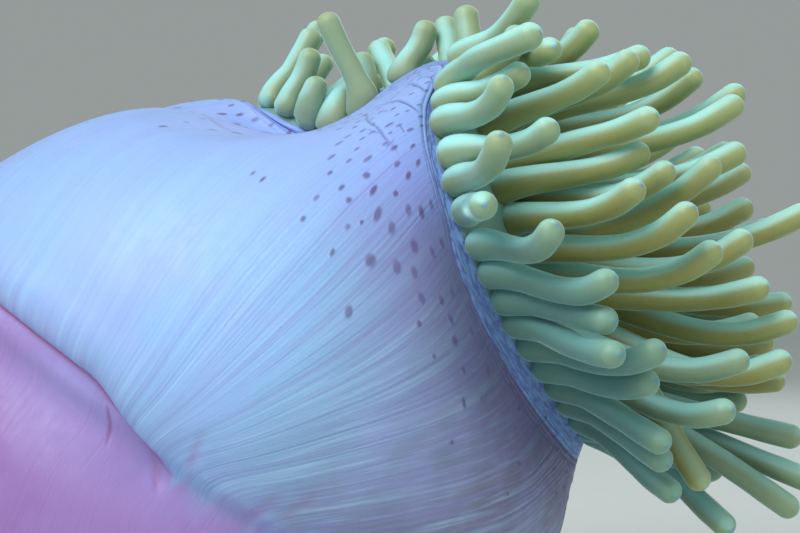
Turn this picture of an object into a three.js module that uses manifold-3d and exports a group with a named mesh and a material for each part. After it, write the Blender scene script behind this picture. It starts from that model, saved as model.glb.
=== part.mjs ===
// Magnificent sea anemone (Heteractis magnifica), life size, as a still museum model.
// Millimetres, +Z up.  The pedal disc stands on Z = 0, the swollen column leans over toward +X,
// and the crown of finger-like tentacles round the mouth looks along +X and a little up.
import * as THREE from "three";
import Module from "manifold-3d";

const wasm = await Module();
wasm.setup();

// ---- sizes of the body --------------------------------------------------------------------

const AROUND = 32;          // facets round the body
const SEAM = 0.003;         // share of the column left open between two pieces
const EDGE = 0.002;         // share of the disc radius left open on each side of the mouth
const DOME = 38;            // rise of the oral disc over its margin
const LID = 0.93;           // height share of the underside of the oral disc

// From pedal disc to margin: height share, left rail x z, right rail x z, half depth.
const STATIONS = [
  [0.00, -78, 0, 78, 0, 75],
  [0.04, -85, 6, 84, 5, 82],
  [0.15, -106, 44, 95, 10, 93],
  [0.27, -115, 98, 101, 14, 97],
  [0.35, -112, 140, 105, 18, 94],
  [0.40, -100, 158, 108, 22, 88],
  [0.46, -97, 170, 113, 27, 94],
  [0.55, -80, 184, 121, 36, 102],
  [0.66, -48, 203, 129, 49, 105],
  [0.77, -14, 214.5, 134, 63, 101],
  [0.87, 12, 215.5, 136.5, 76, 93],
  [0.94, 24, 211, 138.5, 85, 86],
  [1.00, 29, 205, 141, 93, 80],
];

// The wavy margin at even turns, from its lowest point round the near side: x y z.
const MARGIN = [
  [141, 0, 93], [125, -34, 112], [107, -60, 138], [94, -72, 166],
  [87, -66, 190], [86, -50, 208], [93, -22, 228], [77, -3, 228],
  [46, 12, 207], [20, 27, 216], [26, 64, 209], [60, 90, 198],
  [97, 95, 177], [121, 84, 146], [136, 57, 117], [143, 27, 99],
];
const NORMAL = new THREE.Vector3(0.866, 0, 0.5);   // the way the oral disc faces
const HIGH_TURN = 0.42;     // turn of the high corner of the margin

// How the rings run over into the margin: from this height share on, and later by the high corner.
const RUN_FROM = 0.45;
const RUN_LATER = 0.30;
const RUN_WIDTH = 0.10;     // half width of that corner, in turns
const RUN_EASE = 1.25;      // how slowly it begins

// Dents of the column behind its high corner: depth, turn, half width, height share, half height.
const DENTS = [
  [20, 0.455, 0.075, 0.885, 0.085],
  [6, 0.375, 0.045, 0.86, 0.06],
];
const DENT_WAY = new THREE.Vector3(0.15, 0.25, -1);

// Lips from the outside in: share of the disc radius, rise along NORMAL, stretch across.
const LIPS = [[0.19, 1, 1], [0.15, 4, 1.1], [0.1, 3.5, 1.15], [0.06, -3, 1.2]];

// Rings of the domed caps, as shares of the radius; the last one borders the mouth.
const BORDERS = [1, 0.6, 0.24];

// ---- sizes of the tentacles ---------------------------------------------------------------

const RADIUS = 4.3;         // half the thickness of a tentacle at mid length
const CLEAR = 1.3;          // free space kept between two tentacles
const ROOT = 3;             // depth of a tentacle's first knot in the disc
const ROOT_RADIUS = 4;      // half the thickness where it leaves the disc
const SPACING = 9.2;        // least distance between two roots
const KNOTS = 7;            // points along a tentacle
const SIDES = 5;            // facets round a tentacle
const STEP = 0.01;          // small step over the disc that gives its directions
const RING_KNOTS = [2, 4, 6];            // knots that carry a ring of facets
const RING_SIZES = [1.04, 1, 0.88];      // their size against RADIUS
const TIP_BACK = 0.35;      // how far the last ring stands back from its knot, against RADIUS
const TIP_AHEAD = 0.7;      // how far the blunt end stands ahead of it, against RADIUS
const AXIS = new THREE.Vector3(0.95, -0.08, 0.24); // the way the crown points
const UP = new THREE.Vector3(0, 0, 1);

// Rows from the margin inward: share of the disc radius, count, length.
const ROWS = [
  [0.935, 33, 54], [0.82, 40, 66], [0.70, 34, 70],
  [0.58, 26, 72], [0.46, 18, 74], [0.34, 11, 74],
];
const FREE_FROM = 0.313;    // turn where the margin row has no posed tentacle any more
const FREE_SPAN = 0.717;    // turns from there to the first posed one
const NEAR_TURN = 0.2;      // turn of the middle of the posed side
const NEAR_WIDTH = 0.115;   // half width of the stretch whose second row is all posed
const PLAY = 0.3;           // how unevenly the inner roots stand, as a share of their spacing

// How a posed tentacle leaves the disc, as shares of a unit direction.
const LEAD_OUT = 0.75;
const LEAD_UP = 0.55;
const LEAD_AIM = 0.5;
const LIFT = 1.2;           // turn up of a posed tip whose lift is 1
const ROOT_PULL = 0.33;     // shares of the span over which root and tip keep their direction
const TIP_PULL = 0.4;

// How the other tentacles lie, as shares of a unit direction.
const LEAN = 1.35;          // lean outward at the margin
const LEAN_RISING = 0.5;    // share of the lean's height kept where it rises
const LEAN_FALLING = 0.9;   // and where it falls
const LEAN_FADE = 1.2;      // how fast the lean fades inward
const SHELTER = 0.6;        // how much straighter the inner rows stand behind the posed ones
const SHELTER_WIDTH = 0.13; // half width of that stretch, in turns
const STRAY = 0.4;          // unevenness of the directions
const TURN_UP = 0.13;       // least turn up of the tips
const TURN_UP_PLAY = 0.5;   // and its unevenness
const TURN_ALONG = 0.4;     // turn of the margin's tips toward AXIS
const TURN_LATE = 1.6;      // how late along the tentacle it turns
const SAG = 0.28;
const SWAY = 0.7;
const LENGTH_LEAST = 0.88;  // least length as a share of the row's, and its unevenness
const LENGTH_PLAY = 0.24;
const NOTCH_TURN = 0.5;     // turn of the notch of the margin, where the tentacles are shortest
const NOTCH_WIDTH = 0.15;   // half width of that stretch, in turns
const NOTCH_SHRINK = 0.35;  // how much shorter they are in its middle

// How the tentacles are pushed apart.
const ROUNDS = 140;         // steps
const REACH = 2 * RADIUS + CLEAR;
const LISTED = 8;           // steps between two listings of neighbours, and their extra reach
const ROOT_EASE = [0, 0.25]; // how freely the first knots move, where the others have 1
const HELD_EASE = 0.15;     // how freely a posed tentacle moves, where the others have 1
const PUSH = 0.9;           // share of an overlap undone in one step
const STIFFNESS = 0.12;     // share of a change of curve undone in one step
const FIRM = 8;             // only a knot with less than one FIRMth of the freedom moves less
const TINY = 1e-6;          // keeps a division away from zero

// Posed tentacles of the near side and the notch: row, turn of the root, tip x y z, lift of the tip.
const POSED = [
  [0, 0.313, 114, -66, 218, 0.1], [0, 0.29, 107, -84, 212, 0.9], [0, 0.25, 122, -80, 199, 0.5],
  [0, 0.225, 105, -104, 193, 0.7], [0, 0.2, 100, -110, 174, 0], [0, 0.175, 121, -100, 167, 0.9],
  [0, 0.155, 138, -96, 151, 0.7], [0, 0.135, 138, -92, 140, 0], [0, 0.118, 140, -98, 131, 0.1],
  [0, 0.1, 155, -82, 130, 0.5], [0, 0.082, 154, -72, 120, 0.4], [0, 0.064, 159, -66, 100, 0],
  [0, 0.047, 161, -56, 93, 0], [0, 0.028, 166, -44, 81, 0.1],
  [0, 0.562, 42, 32, 244, 0.1], [0, 0.543, 42, 22, 235, 0.5], [0, 0.525, 45, 14, 224, 0.3],
  [0, 0.502, 60, 32, 227, 0.2], [0, 0.478, 49, 4, 246, 0], [0, 0.447, 85, 0, 242, 0.2],
  [1, 0.505, 64, 25, 234, 0.2], [1, 0.472, 66, 34, 239, 0.2], [1, 0.448, 83, 14, 233, 0.1],
  [1, 0.42, 92, 8, 244, 0.2], [1, 0.392, 99, -6, 246, 0.2],
  [1, 0.34, 117, -44, 232, 0.3], [1, 0.08, 185, -62, 126, 0.45], [1, 0.055, 180, -64, 110, 0.5],
  [1, 0.035, 209, -28, 73, 0], [1, 0.015, 212, -20, 96, 0.1], [1, -0.005, 216, -26, 83, 0],
  [1, -0.03, 188, -30, 67, 0],
  [2, 0.41, 125, -50, 229, 0.3], [2, 0.29, 140, -62, 219, 0.25], [2, 0.17, 148, -84, 180, 0.4],
  [2, 0.14, 165, -80, 173, 0.6], [2, 0.115, 175, -68, 161, 0.6], [2, 0.06, 202, -48, 125, 0.6],
  [2, 0.03, 178, -38, 83, 0.1], [2, 0.205, 154, -58, 192, 0.2], [2, 0.354, 157, -34, 227, 0.2],
  [3, 0.38, 141, -22, 238, 0.3], [3, 0.31, 152, -44, 225, 0.4], [3, 0.225, 155, -68, 203, 0.25],
  [3, 0.18, 161, -64, 189, 0.35], [3, 0.128, 177, -56, 189, 0.45], [3, 0.1, 188, -52, 165, 0.6],
  [3, 0.065, 205, -44, 138, 0.5],
  [4, 0.32, 172, -30, 226, 0.3], [4, 0.22, 189, -34, 211, 0.35], [4, 0.09, 212, -36, 174, 0.35],
];

// ---- small helpers ------------------------------------------------------------------------

const vec = (x, y, z) => new THREE.Vector3(x, y, z);
const plus = (a, b, k = 1) => a.clone().addScaledVector(b, k);
const gap = (a, b) => b.clone().sub(a);
const bell = (x, width) => Math.exp(-((x / width) ** 2));
const wrap = (d) => d - Math.round(d);
const mean = (list) => list.reduce((sum, p) => sum.add(p), vec(0, 0, 0)).divideScalar(list.length);

function smooth(from, to, x) {
  const k = Math.min(1, Math.max(0, (x - from) / (to - from)));
  return k * k * (3 - 2 * k);
}

// A fixed number between 0 and 1 for tentacle n and use k.
function chance(n, k) {
  const x = Math.sin(n * 12.9898 + k * 78.233) * 43758.5453;
  return x - Math.floor(x);
}

// ---- the surface of the body --------------------------------------------------------------

// Smooth value of the columns of STATIONS at height share t.
function station(t) {
  const last = STATIONS.length - 1;
  const step = (i) => STATIONS[i + 1][0] - STATIONS[i][0];
  const slope = (i, c) => (STATIONS[i + 1][c] - STATIONS[i][c]) / step(i);
  const tangent = (i, c) => {
    if (i === 0) return slope(0, c);
    if (i === last) return slope(last - 1, c);
    const back = step(i - 1);
    const ahead = step(i);
    return (ahead * slope(i - 1, c) + back * slope(i, c)) / (back + ahead);
  };
  let i = 0;
  while (i < last - 1 && t >= STATIONS[i + 1][0]) i += 1;
  const h = step(i);
  const s = (t - STATIONS[i][0]) / h;
  const cubic = (c) =>
    (2 * s ** 3 - 3 * s ** 2 + 1) * STATIONS[i][c] + (s ** 3 - 2 * s ** 2 + s) * h * tangent(i, c)
    + (3 * s ** 2 - 2 * s ** 3) * STATIONS[i + 1][c] + (s ** 3 - s ** 2) * h * tangent(i + 1, c);
  return [1, 2, 3, 4, 5].map(cubic);
}

// Plain ring between the two rails: v in turns, 0 at the right, 0.25 near, 0.5 at the left.
function ring(v, t) {
  const [leftX, leftZ, rightX, rightZ, depth] = station(t);
  const c = Math.cos(2 * Math.PI * v);
  const s = Math.sin(2 * Math.PI * v);
  return vec(
    (leftX + rightX) / 2 + (rightX - leftX) / 2 * c,
    -depth * s,
    (leftZ + rightZ) / 2 + (rightZ - leftZ) / 2 * c,
  );
}

// Smooth closed curve through the points of MARGIN.
function margin(v) {
  const n = MARGIN.length;
  const x = (v - Math.floor(v)) * n;
  const i = Math.floor(x);
  const f = x - i;
  const [a, b, c, d] = [-1, 0, 1, 2].map((k) => MARGIN[(i + k + n) % n]);
  const at = (k) => 0.5 * (2 * b[k] + (c[k] - a[k]) * f
    + (2 * a[k] - 5 * b[k] + 4 * c[k] - d[k]) * f ** 2
    + (3 * b[k] - a[k] - 3 * c[k] + d[k]) * f ** 3);
  return vec(at(0), at(1), at(2));
}

// Outer surface of the column: the rings run over into the wavy margin.
function shell(v, t) {
  const from = RUN_FROM + RUN_LATER * bell(wrap(v - HIGH_TURN), RUN_WIDTH);
  const share = smooth(from, 1, t) ** RUN_EASE;
  const point = plus(ring(v, t), gap(ring(v, 1), margin(v)), share);
  for (const [depth, turn, width, middleShare, height] of DENTS) {
    point.addScaledVector(DENT_WAY, depth * bell(wrap(v - turn), width) * bell(t - middleShare, height));
  }
  return point;
}

function middle(t) {
  return mean(Array.from({ length: 64 }, (_, i) => shell(i / 64, t)));
}

// Domed surface inside the ring at t, from its middle (rho 0) to the outside (rho 1).
function cap(v, rho, t, centre = middle(t)) {
  const rise = DOME * smooth(0.3, 1, t) * (1 - rho ** 2);
  return plus(plus(centre, gap(centre, shell(v, t)), rho), NORMAL, rise);
}

function capRing(rho, t) {
  const centre = middle(t);
  return Array.from({ length: AROUND }, (_, i) => cap(i / AROUND, rho, t, centre));
}

// ---- solids -------------------------------------------------------------------------------

function solid(points, faces) {
  const build = (list) => new wasm.Manifold(new wasm.Mesh({
    numProp: 3,
    vertProperties: Float32Array.from(points.flatMap((p) => [p.x, p.y, p.z])),
    triVerts: Uint32Array.from(list.flat()),
  }));
  const body = build(faces);
  if (body.volume() > 0) return body;
  return build(faces.map(([a, b, c]) => [a, c, b]));
}

// Closed body from a stack of rings of equal count.  The ends close on the middle of the end
// rings or on the given apex, or, for an annulus, the last ring joins the first.
function loft(rings, annulus = false, apex = null) {
  const n = rings[0].length;
  const points = rings.flat();
  const faces = [];
  const joins = annulus ? rings.length : rings.length - 1;
  for (let r = 0; r < joins; r += 1) {
    const next = (r + 1) % rings.length;
    for (let i = 0; i < n; i += 1) {
      const j = (i + 1) % n;
      faces.push([r * n + i, next * n + i, next * n + j]);
      faces.push([r * n + i, next * n + j, r * n + j]);
    }
  }
  if (!annulus) {
    const top = (rings.length - 1) * n;
    for (const [end, start] of [[rings[0], 0], [rings.at(-1), top]]) {
      const hub = points.push(start > 0 && apex ? apex : mean(end)) - 1;
      for (let i = 0; i < n; i += 1) {
        const pair = [start + i, start + (i + 1) % n];
        faces.push(start === 0 ? [hub, pair[0], pair[1]] : [hub, pair[1], pair[0]]);
      }
    }
  }
  return solid(points, faces);
}

// Piece of the column between two height shares, closed at both by the domed caps.
function columnPiece(shares) {
  const inner = (t) => (t > 0.5 ? BORDERS.slice(1).map((rho) => capRing(rho, t)) : []);
  const lower = inner(shares[0]).reverse();
  return loft([...lower, ...shares.map((t) => capRing(1, t)), ...inner(shares.at(-1))]);
}

// ---- the tentacles ------------------------------------------------------------------------

function outward(v) {
  const out = gap(middle(1), margin(v));
  return plus(out, NORMAL, -out.dot(NORMAL)).normalize();
}

// Even points along a posed tentacle that leaves the disc and lifts its tip.
function posedPath(root, v, tip, lift) {
  const span = root.distanceTo(tip);
  const aim = gap(root, tip).divideScalar(span);
  const out = plus(outward(v).multiplyScalar(LEAD_OUT), NORMAL, LEAD_UP);
  const lead = plus(out, aim, LEAD_AIM).normalize();
  const end = plus(aim, UP, LIFT * lift).normalize();
  const curve = new THREE.CubicBezierCurve3(
    plus(root, lead, -ROOT),
    plus(root, lead, ROOT_PULL * span),
    plus(tip, end, -TIP_PULL * span),
    tip,
  );
  return curve.getSpacedPoints(KNOTS - 1);
}

// Points along a tentacle that follows the crown: it leans outward near the margin, sags in
// the middle and turns up at the tip.
function loosePath(root, v, row, n) {
  const [rho, , full] = ROWS[row];
  const upright = row > 0 ? 1 - SHELTER * bell(wrap(v - NEAR_TURN), SHELTER_WIDTH) : 1;
  const lean = outward(v);
  lean.z *= lean.z > 0 ? LEAN_RISING : LEAN_FALLING;
  lean.multiplyScalar(LEAN * rho ** LEAN_FADE * upright);
  const stray = vec(chance(n, 3) - 0.5, chance(n, 4) - 0.5, chance(n, 5) - 0.5);
  const start = plus(plus(AXIS, lean), NORMAL, 1 - rho).addScaledVector(stray, STRAY).normalize();
  const shorter = 1 - NOTCH_SHRINK * bell(wrap(v - NOTCH_TURN), NOTCH_WIDTH);
  const length = full * (LENGTH_LEAST + LENGTH_PLAY * chance(n, 6)) * shorter;
  const rise = TURN_UP + TURN_UP_PLAY * chance(n, 7);
  const bend = plus(UP.clone().multiplyScalar(rise), AXIS, TURN_ALONG * rho);
  const side = start.clone().cross(UP).normalize().multiplyScalar((chance(n, 8) - 0.5) * SWAY);
  const way = (s) => {
    const d = plus(start, bend, s ** TURN_LATE);
    d.addScaledVector(UP, -SAG * Math.sin(Math.PI * s));
    return d.addScaledVector(side, Math.sin(Math.PI * s * 1.5)).normalize();
  };
  const path = [plus(root, start, -ROOT)];
  for (let k = 1; k < KNOTS; k += 1) {
    const d = way((k - 1) / (KNOTS - 1)).add(way(k / (KNOTS - 1))).normalize();
    path.push(plus(path[k - 1], d, length / (KNOTS - 1)));
  }
  return path;
}

// Every tentacle with its row, its points and whether it keeps its pose.
function plant() {
  const list = POSED.map(([row, v, x, y, z, lift]) => {
    const root = cap(v, ROWS[row][0], 1);
    return { row, v, root, held: true, path: posedPath(root, v, vec(x, y, z), lift) };
  });
  let n = 0;
  ROWS.forEach(([rho, count], row) => {
    for (let i = 0; i < count; i += 1) {
      n += 1;
      const v = row === 0
        ? FREE_FROM + (i + 0.9) * FREE_SPAN / (count + 0.8)
        : (i + 0.5 * (row % 2) + PLAY * (chance(n, 1) - 0.5)) / count;
      const root = cap(v, rho, 1);
      const crowded = list.some((other) => other.root.distanceTo(root) < SPACING);
      const behindPosed = row === 1 && Math.abs(wrap(v - NEAR_TURN)) < NEAR_WIDTH;
      if (!crowded && !behindPosed) {
        list.push({ row, v, root, held: false, path: loosePath(root, v, row, n) });
      }
    }
  });
  return list;
}

// Samples for the spreading: every knot, and every point midway between two knots.
function samples(list) {
  const found = [];
  list.forEach(({ path }, owner) => {
    for (let k = 0; k < KNOTS; k += 1) found.push({ owner, ends: [k, k], at: path[k] });
    for (let k = 0; k < KNOTS - 1; k += 1) {
      const at = path[k].clone().add(path[k + 1]).multiplyScalar(0.5);
      found.push({ owner, ends: [k, k + 1], at });
    }
  });
  return found;
}

// Pairs of samples of two tentacles that are close enough to touch within a few steps.
function neighbours(now) {
  const pairs = [];
  const near = (REACH + LISTED) ** 2;
  for (let i = 0; i < now.length; i += 1) {
    for (let j = i + 1; j < now.length; j += 1) {
      const rooted = now[i].ends[0] === 0 && now[j].ends[0] === 0;
      const apart = now[i].owner !== now[j].owner && !rooted;
      if (apart && now[i].at.distanceToSquared(now[j].at) < near) pairs.push([i, j]);
    }
  }
  return pairs;
}

// Moves that take the samples of each pair out of each other, summed by tentacle and knot.
function pushes(list, now, pairs, ease) {
  const free = now.map(({ owner, ends }) => (ease[owner][ends[0]] + ease[owner][ends[1]]) / 2);
  const moves = list.map(() => Array.from({ length: KNOTS }, () => ({ sum: vec(0, 0, 0), n: 0 })));
  for (const [i, j] of pairs) {
    const d = gap(now[i].at, now[j].at);
    const length = d.length() + TINY;
    if (length >= REACH) continue;
    const total = free[i] + free[j] + TINY;
    d.multiplyScalar((REACH - length) / length);
    for (const [one, sign] of [[i, -1], [j, 1]]) {
      for (const k of new Set(now[one].ends)) {
        const move = moves[now[one].owner][k];
        move.sum.addScaledVector(d, sign * free[one] / total);
        move.n += 1;
      }
    }
  }
  return moves;
}

// How sharply the path bends at knot k.
const curveAt = (path, k) => plus(plus(path[k + 1], path[k], -2), path[k - 1]);

function restoreCurve(path, curves, ease) {
  const fixes = path.map((p, k) => (k > 0 && k < KNOTS - 1
    ? gap(curveAt(path, k), curves[k]).multiplyScalar(STIFFNESS) : null));
  for (let k = 1; k < KNOTS - 1; k += 1) {
    path[k + 1].addScaledVector(fixes[k], 0.5 * ease[k + 1]);
    path[k].addScaledVector(fixes[k], -ease[k]);
  }
}

function restoreLengths(path, lengths, ease) {
  for (let k = 0; k < KNOTS - 1; k += 1) {
    const d = gap(path[k], path[k + 1]);
    const length = d.length();
    d.multiplyScalar((length - lengths[k]) / length / (ease[k] + ease[k + 1] + TINY));
    path[k].addScaledVector(d, ease[k]);
    path[k + 1].addScaledVector(d, -ease[k + 1]);
  }
}

// Pushes the tentacles apart until they lie side by side, each keeping its length and curve.
function spread(list) {
  const ease = list.map(({ held }) => Array.from({ length: KNOTS }, (_, k) =>
    (ROOT_EASE[k] ?? 1) * (held ? HELD_EASE : 1)));
  const lengths = list.map(({ path }) => path.slice(1).map((p, k) => p.distanceTo(path[k])));
  const curves = list.map(({ path }) => path.map((p, k) =>
    (k > 0 && k < KNOTS - 1 ? curveAt(path, k) : null)));
  let pairs = [];
  for (let round = 0; round < ROUNDS; round += 1) {
    const now = samples(list);
    if (round % LISTED === 0) pairs = neighbours(now);
    const moves = pushes(list, now, pairs, ease);
    list.forEach(({ path }, t) => {
      for (let k = 0; k < KNOTS; k += 1) {
        const { sum, n } = moves[t][k];
        path[k].addScaledVector(sum, PUSH / Math.max(n, 1) * Math.min(FIRM * ease[t][k], 1));
      }
      restoreCurve(path, curves[t], ease[t]);
      restoreLengths(path, lengths[t], ease[t]);
    });
  }
  return list;
}

// Corners of a tentacle's root on the disc, as turn and share of the radius.
function rootCorners({ row, v }) {
  const rho = ROWS[row][0];
  const around = cap(v - STEP, rho, 1).distanceTo(cap(v + STEP, rho, 1)) / (2 * STEP);
  const along = cap(v, rho - STEP, 1).distanceTo(cap(v, rho + STEP, 1)) / (2 * STEP);
  return Array.from({ length: SIDES }, (_, k) => {
    const a = 2 * Math.PI * k / SIDES;
    return [v + ROOT_RADIUS * Math.cos(a) / around, rho - ROOT_RADIUS * Math.sin(a) / along];
  });
}

// Rings of a faceted tentacle above its root, even along its length, and its blunt end.
function fingerRings({ v, row, path }) {
  const rho = ROWS[row][0];
  const last = path.at(-1);
  const final = gap(path.at(-2), last).normalize();
  const stops = RING_KNOTS.map((k) => path[k].clone());
  stops.at(-1).addScaledVector(final, -TIP_BACK * RADIUS);
  let across = gap(cap(v - STEP, rho, 1), cap(v + STEP, rho, 1));
  let third = gap(cap(v, rho + STEP, 1), cap(v, rho - STEP, 1));
  const hand = Math.sign(across.clone().cross(third).dot(NORMAL));
  const rings = stops.map((stop, i) => {
    const back = path[RING_KNOTS[i] - 1];
    const ahead = path[Math.min(KNOTS - 1, RING_KNOTS[i] + 1)];
    const way = gap(back, ahead).normalize();
    across = plus(across, way, -across.dot(way)).normalize();
    third = way.clone().cross(across).multiplyScalar(hand);
    const r = RADIUS * RING_SIZES[i];
    return Array.from({ length: SIDES }, (_, k) => {
      const a = 2 * Math.PI * k / SIDES;
      return plus(plus(stop, across, r * Math.cos(a)), third, r * Math.sin(a));
    });
  });
  return [rings, plus(last, final, TIP_AHEAD * RADIUS)];
}

// The domed disc outside the mouth, with every tentacle that grows from it.
function crownPiece(list) {
  const points = [];
  const faces = [];
  const flat = [];
  const place = (found) => found.map((p) => points.push(p) - 1);
  const band = (low, high) => low.forEach((a, i) => {
    const j = (i + 1) % low.length;
    faces.push([a, high[i], high[j]], [a, high[j], low[j]]);
  });
  const onDisc = (corners) => {
    flat.push(corners.map(([v, rho]) =>
      new THREE.Vector2(rho * Math.cos(2 * Math.PI * v), rho * Math.sin(2 * Math.PI * v))));
    return place(corners.map(([v, rho]) => cap(v, rho, 1)));
  };
  const turn = (rho) => Array.from({ length: AROUND }, (_, i) => [i / AROUND, rho]);
  const mouthShare = BORDERS.at(-1) + EDGE;
  const edge = onDisc(turn(1));
  const mouth = onDisc(turn(mouthShare));
  const roots = list.map((one) => onDisc(rootCorners(one)));
  const top = [...edge, ...mouth, ...roots.flat()];
  const plan = flat.flat();
  for (const [a, b, c] of THREE.ShapeUtils.triangulateShape(flat[0], flat.slice(1))) {
    const turned = plan[b].clone().sub(plan[a]).cross(plan[c].clone().sub(plan[a])) > 0;
    faces.push((turned ? [a, c, b] : [a, b, c]).map((k) => top[k]));
  }
  list.forEach((one, i) => {
    const [rings, end] = fingerRings(one);
    let below = roots[i];
    for (const found of rings) {
      const above = place(found);
      band(below, above);
      below = above;
    }
    const apex = points.push(end) - 1;
    below.forEach((a, k) => faces.push([a, apex, below[(k + 1) % SIDES]]));
  });
  const under = [...BORDERS.slice(0, -1), mouthShare].map((rho) => place(capRing(rho, LID + SEAM)));
  band(under[0], edge);
  for (let i = 1; i < under.length; i += 1) band(under[i], under[i - 1]);
  band(mouth, under.at(-1));
  return solid(points, faces);
}

// Middle of the disc: a raised pair of lips round the slit of the mouth.
function mouthPiece() {
  const low = LID + SEAM;
  const outer = BORDERS.at(-1) - EDGE;
  const rings = [[outer, 0, 1], ...LIPS].map(([rho, rise, stretch]) => {
    const points = capRing(rho, 1).map((p) => plus(p, NORMAL, rise));
    const centre = mean(points);
    return points.map((p) => vec(p.x, centre.y + (p.y - centre.y) * stretch, p.z));
  });
  return loft([capRing(outer, low), ...rings]);
}

// ---- the model ----------------------------------------------------------------------------

const tentacles = spread(plant());

const flesh = (color) => new THREE.MeshStandardMaterial({ color, roughness: 0.5 });
const PINK = flesh(0xb678b8);
const LAVENDER = flesh(0x9fb4e0);
const VIOLET = flesh(0x8f86c4);
const OLIVE = flesh(0x8f9a74);

const group = new THREE.Group();
group.name = "sea_anemone";

function addNode(name, body, material) {
  const mesh = body.getMesh();
  const n = mesh.numProp;
  const positions = new Float32Array(mesh.vertProperties.length / n * 3);
  for (let i = 0; i < positions.length / 3; i += 1) {
    for (let k = 0; k < 3; k += 1) positions[i * 3 + k] = mesh.vertProperties[i * n + k];
  }
  const geometry = new THREE.BufferGeometry();
  geometry.setAttribute("position", new THREE.BufferAttribute(positions, 3));
  geometry.setIndex(new THREE.BufferAttribute(new Uint32Array(mesh.triVerts), 1));
  const node = new THREE.Mesh(geometry, material);
  node.name = name;
  group.add(node);
}

addNode("pedal_disc", columnPiece([0, 0.02, 0.05]), PINK);
addNode("lower_column", columnPiece([0.05 + SEAM, 0.11, 0.18, 0.26, 0.33, 0.37, 0.398]), PINK);
addNode("upper_column",
  columnPiece([0.398 + SEAM, 0.43, 0.47, 0.54, 0.62, 0.7, 0.77, 0.83]), LAVENDER);
addNode("collar", columnPiece([0.83 + SEAM, 0.87, 0.9, LID]), VIOLET);
addNode("mouth", mouthPiece(), OLIVE);
addNode("tentacle_crown", crownPiece(tentacles), OLIVE);

export default group;
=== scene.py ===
"""Magnificent sea anemone (Heteractis magnifica), life size, as a still museum model.

One closed skin covers the whole animal: flat foot, pink lower column, lavender upper column with its
pleats and warts, the wavy margin, the oral disc, the mouth and every tentacle.  Shapes are worked out
in millimetres and turned into metres when the mesh is made.
"""
import math

import bpy
import numpy as np
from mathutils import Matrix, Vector


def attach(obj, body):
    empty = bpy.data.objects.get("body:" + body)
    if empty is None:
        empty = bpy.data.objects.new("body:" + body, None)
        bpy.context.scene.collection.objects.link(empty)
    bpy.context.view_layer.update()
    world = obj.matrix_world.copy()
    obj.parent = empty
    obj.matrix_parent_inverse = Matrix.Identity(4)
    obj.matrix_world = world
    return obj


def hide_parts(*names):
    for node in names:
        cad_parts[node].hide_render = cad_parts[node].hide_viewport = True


bl_info = {
    "name": "Magnificent Sea Anemone",
    "version": (1, 0, 0),
    "blender": (4, 5, 0),
    "location": "3D View > Sidebar > Anemone",
    "description": "Builds the skin of a life-size sea anemone and a plain stage for it",
    "category": "Object",
}

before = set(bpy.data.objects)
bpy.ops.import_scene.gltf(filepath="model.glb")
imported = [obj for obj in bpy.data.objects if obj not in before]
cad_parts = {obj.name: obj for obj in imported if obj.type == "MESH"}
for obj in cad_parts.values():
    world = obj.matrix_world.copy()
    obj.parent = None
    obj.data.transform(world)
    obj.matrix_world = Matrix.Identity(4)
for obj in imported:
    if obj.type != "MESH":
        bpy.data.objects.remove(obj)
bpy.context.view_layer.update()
MM = 0.001

# The stage, in metres.  Lights: name, power setting, width and place.
LIGHTS = [
    ("key_light", "key_power", 0.9, (-0.5, -0.85, 1.15)),
    ("fill_light", "fill_power", 1.2, (1.1, -0.7, 0.5)),
    ("back_light", "fill_power", 1.0, (0.5, 1.1, 0.9)),
]
LIT_PLACE = (0.05, 0.0, 0.12)
SKY_COLOUR = "#E6F0EE"
SENSOR_WIDTH = 36           # in millimetres, as is the lens

# ---- sizes of the body, in millimetres and shares ---------------------------------------------

DOME = 38.0                 # rise of the oral disc over its margin
RUN_FROM = 0.45             # height share where the column starts to run over into the margin
RUN_LATER = 0.30            # how much later it starts below the high corner
RUN_WIDTH = 0.10            # half width of that place in turns
RUN_EASE = 1.25             # how late the run over grows
GATHER = 0.115              # turns by which the pleats at the waist shift toward the near side
GATHER_RIGHT = 0.05         # how much more they do at the right
WAIST = (0.36, 0.42)        # height shares between which they shift most
NORMAL = np.array([0.866, 0.0, 0.5])    # the way the oral disc faces
UP = np.array([0.0, 0.0, 1.0])

# From pedal disc to margin: height share, left rail x z, right rail x z, half depth.
STATIONS = np.array([
    (0.00, -78, 0, 78, 0, 75),
    (0.04, -85, 6, 84, 5, 82),
    (0.15, -106, 44, 95, 10, 93),
    (0.27, -115, 98, 101, 14, 97),
    (0.35, -112, 140, 105, 18, 94),
    (0.40, -100, 158, 108, 22, 88),
    (0.46, -97, 170, 113, 27, 94),
    (0.55, -80, 184, 121, 36, 102),
    (0.66, -48, 203, 129, 49, 105),
    (0.77, -14, 214.5, 134, 63, 101),
    (0.87, 12, 215.5, 136.5, 76, 93),
    (0.94, 24, 211, 138.5, 85, 86),
    (1.00, 29, 205, 141, 93, 80),
])

# The wavy margin at even turns, from its lowest point round the near side: x y z.
MARGIN = np.array([
    (141, 0, 93), (125, -34, 112), (107, -60, 138), (94, -72, 166),
    (87, -66, 190), (86, -50, 208), (93, -22, 228), (77, -3, 228),
    (46, 12, 207), (20, 27, 216), (26, 64, 209), (60, 90, 198),
    (97, 95, 177), (121, 84, 146), (136, 57, 117), (143, 27, 99),
], dtype=float)

# Dents of the column behind its high corner: depth, turn, half width, height share, half height.
DENTS = [(20, 0.455, 0.075, 0.885, 0.085), (6, 0.375, 0.045, 0.86, 0.06)]
DENT_WAY = np.array([0.15, 0.25, -1.0])

# ---- sizes of the tentacles -------------------------------------------------------------------

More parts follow.
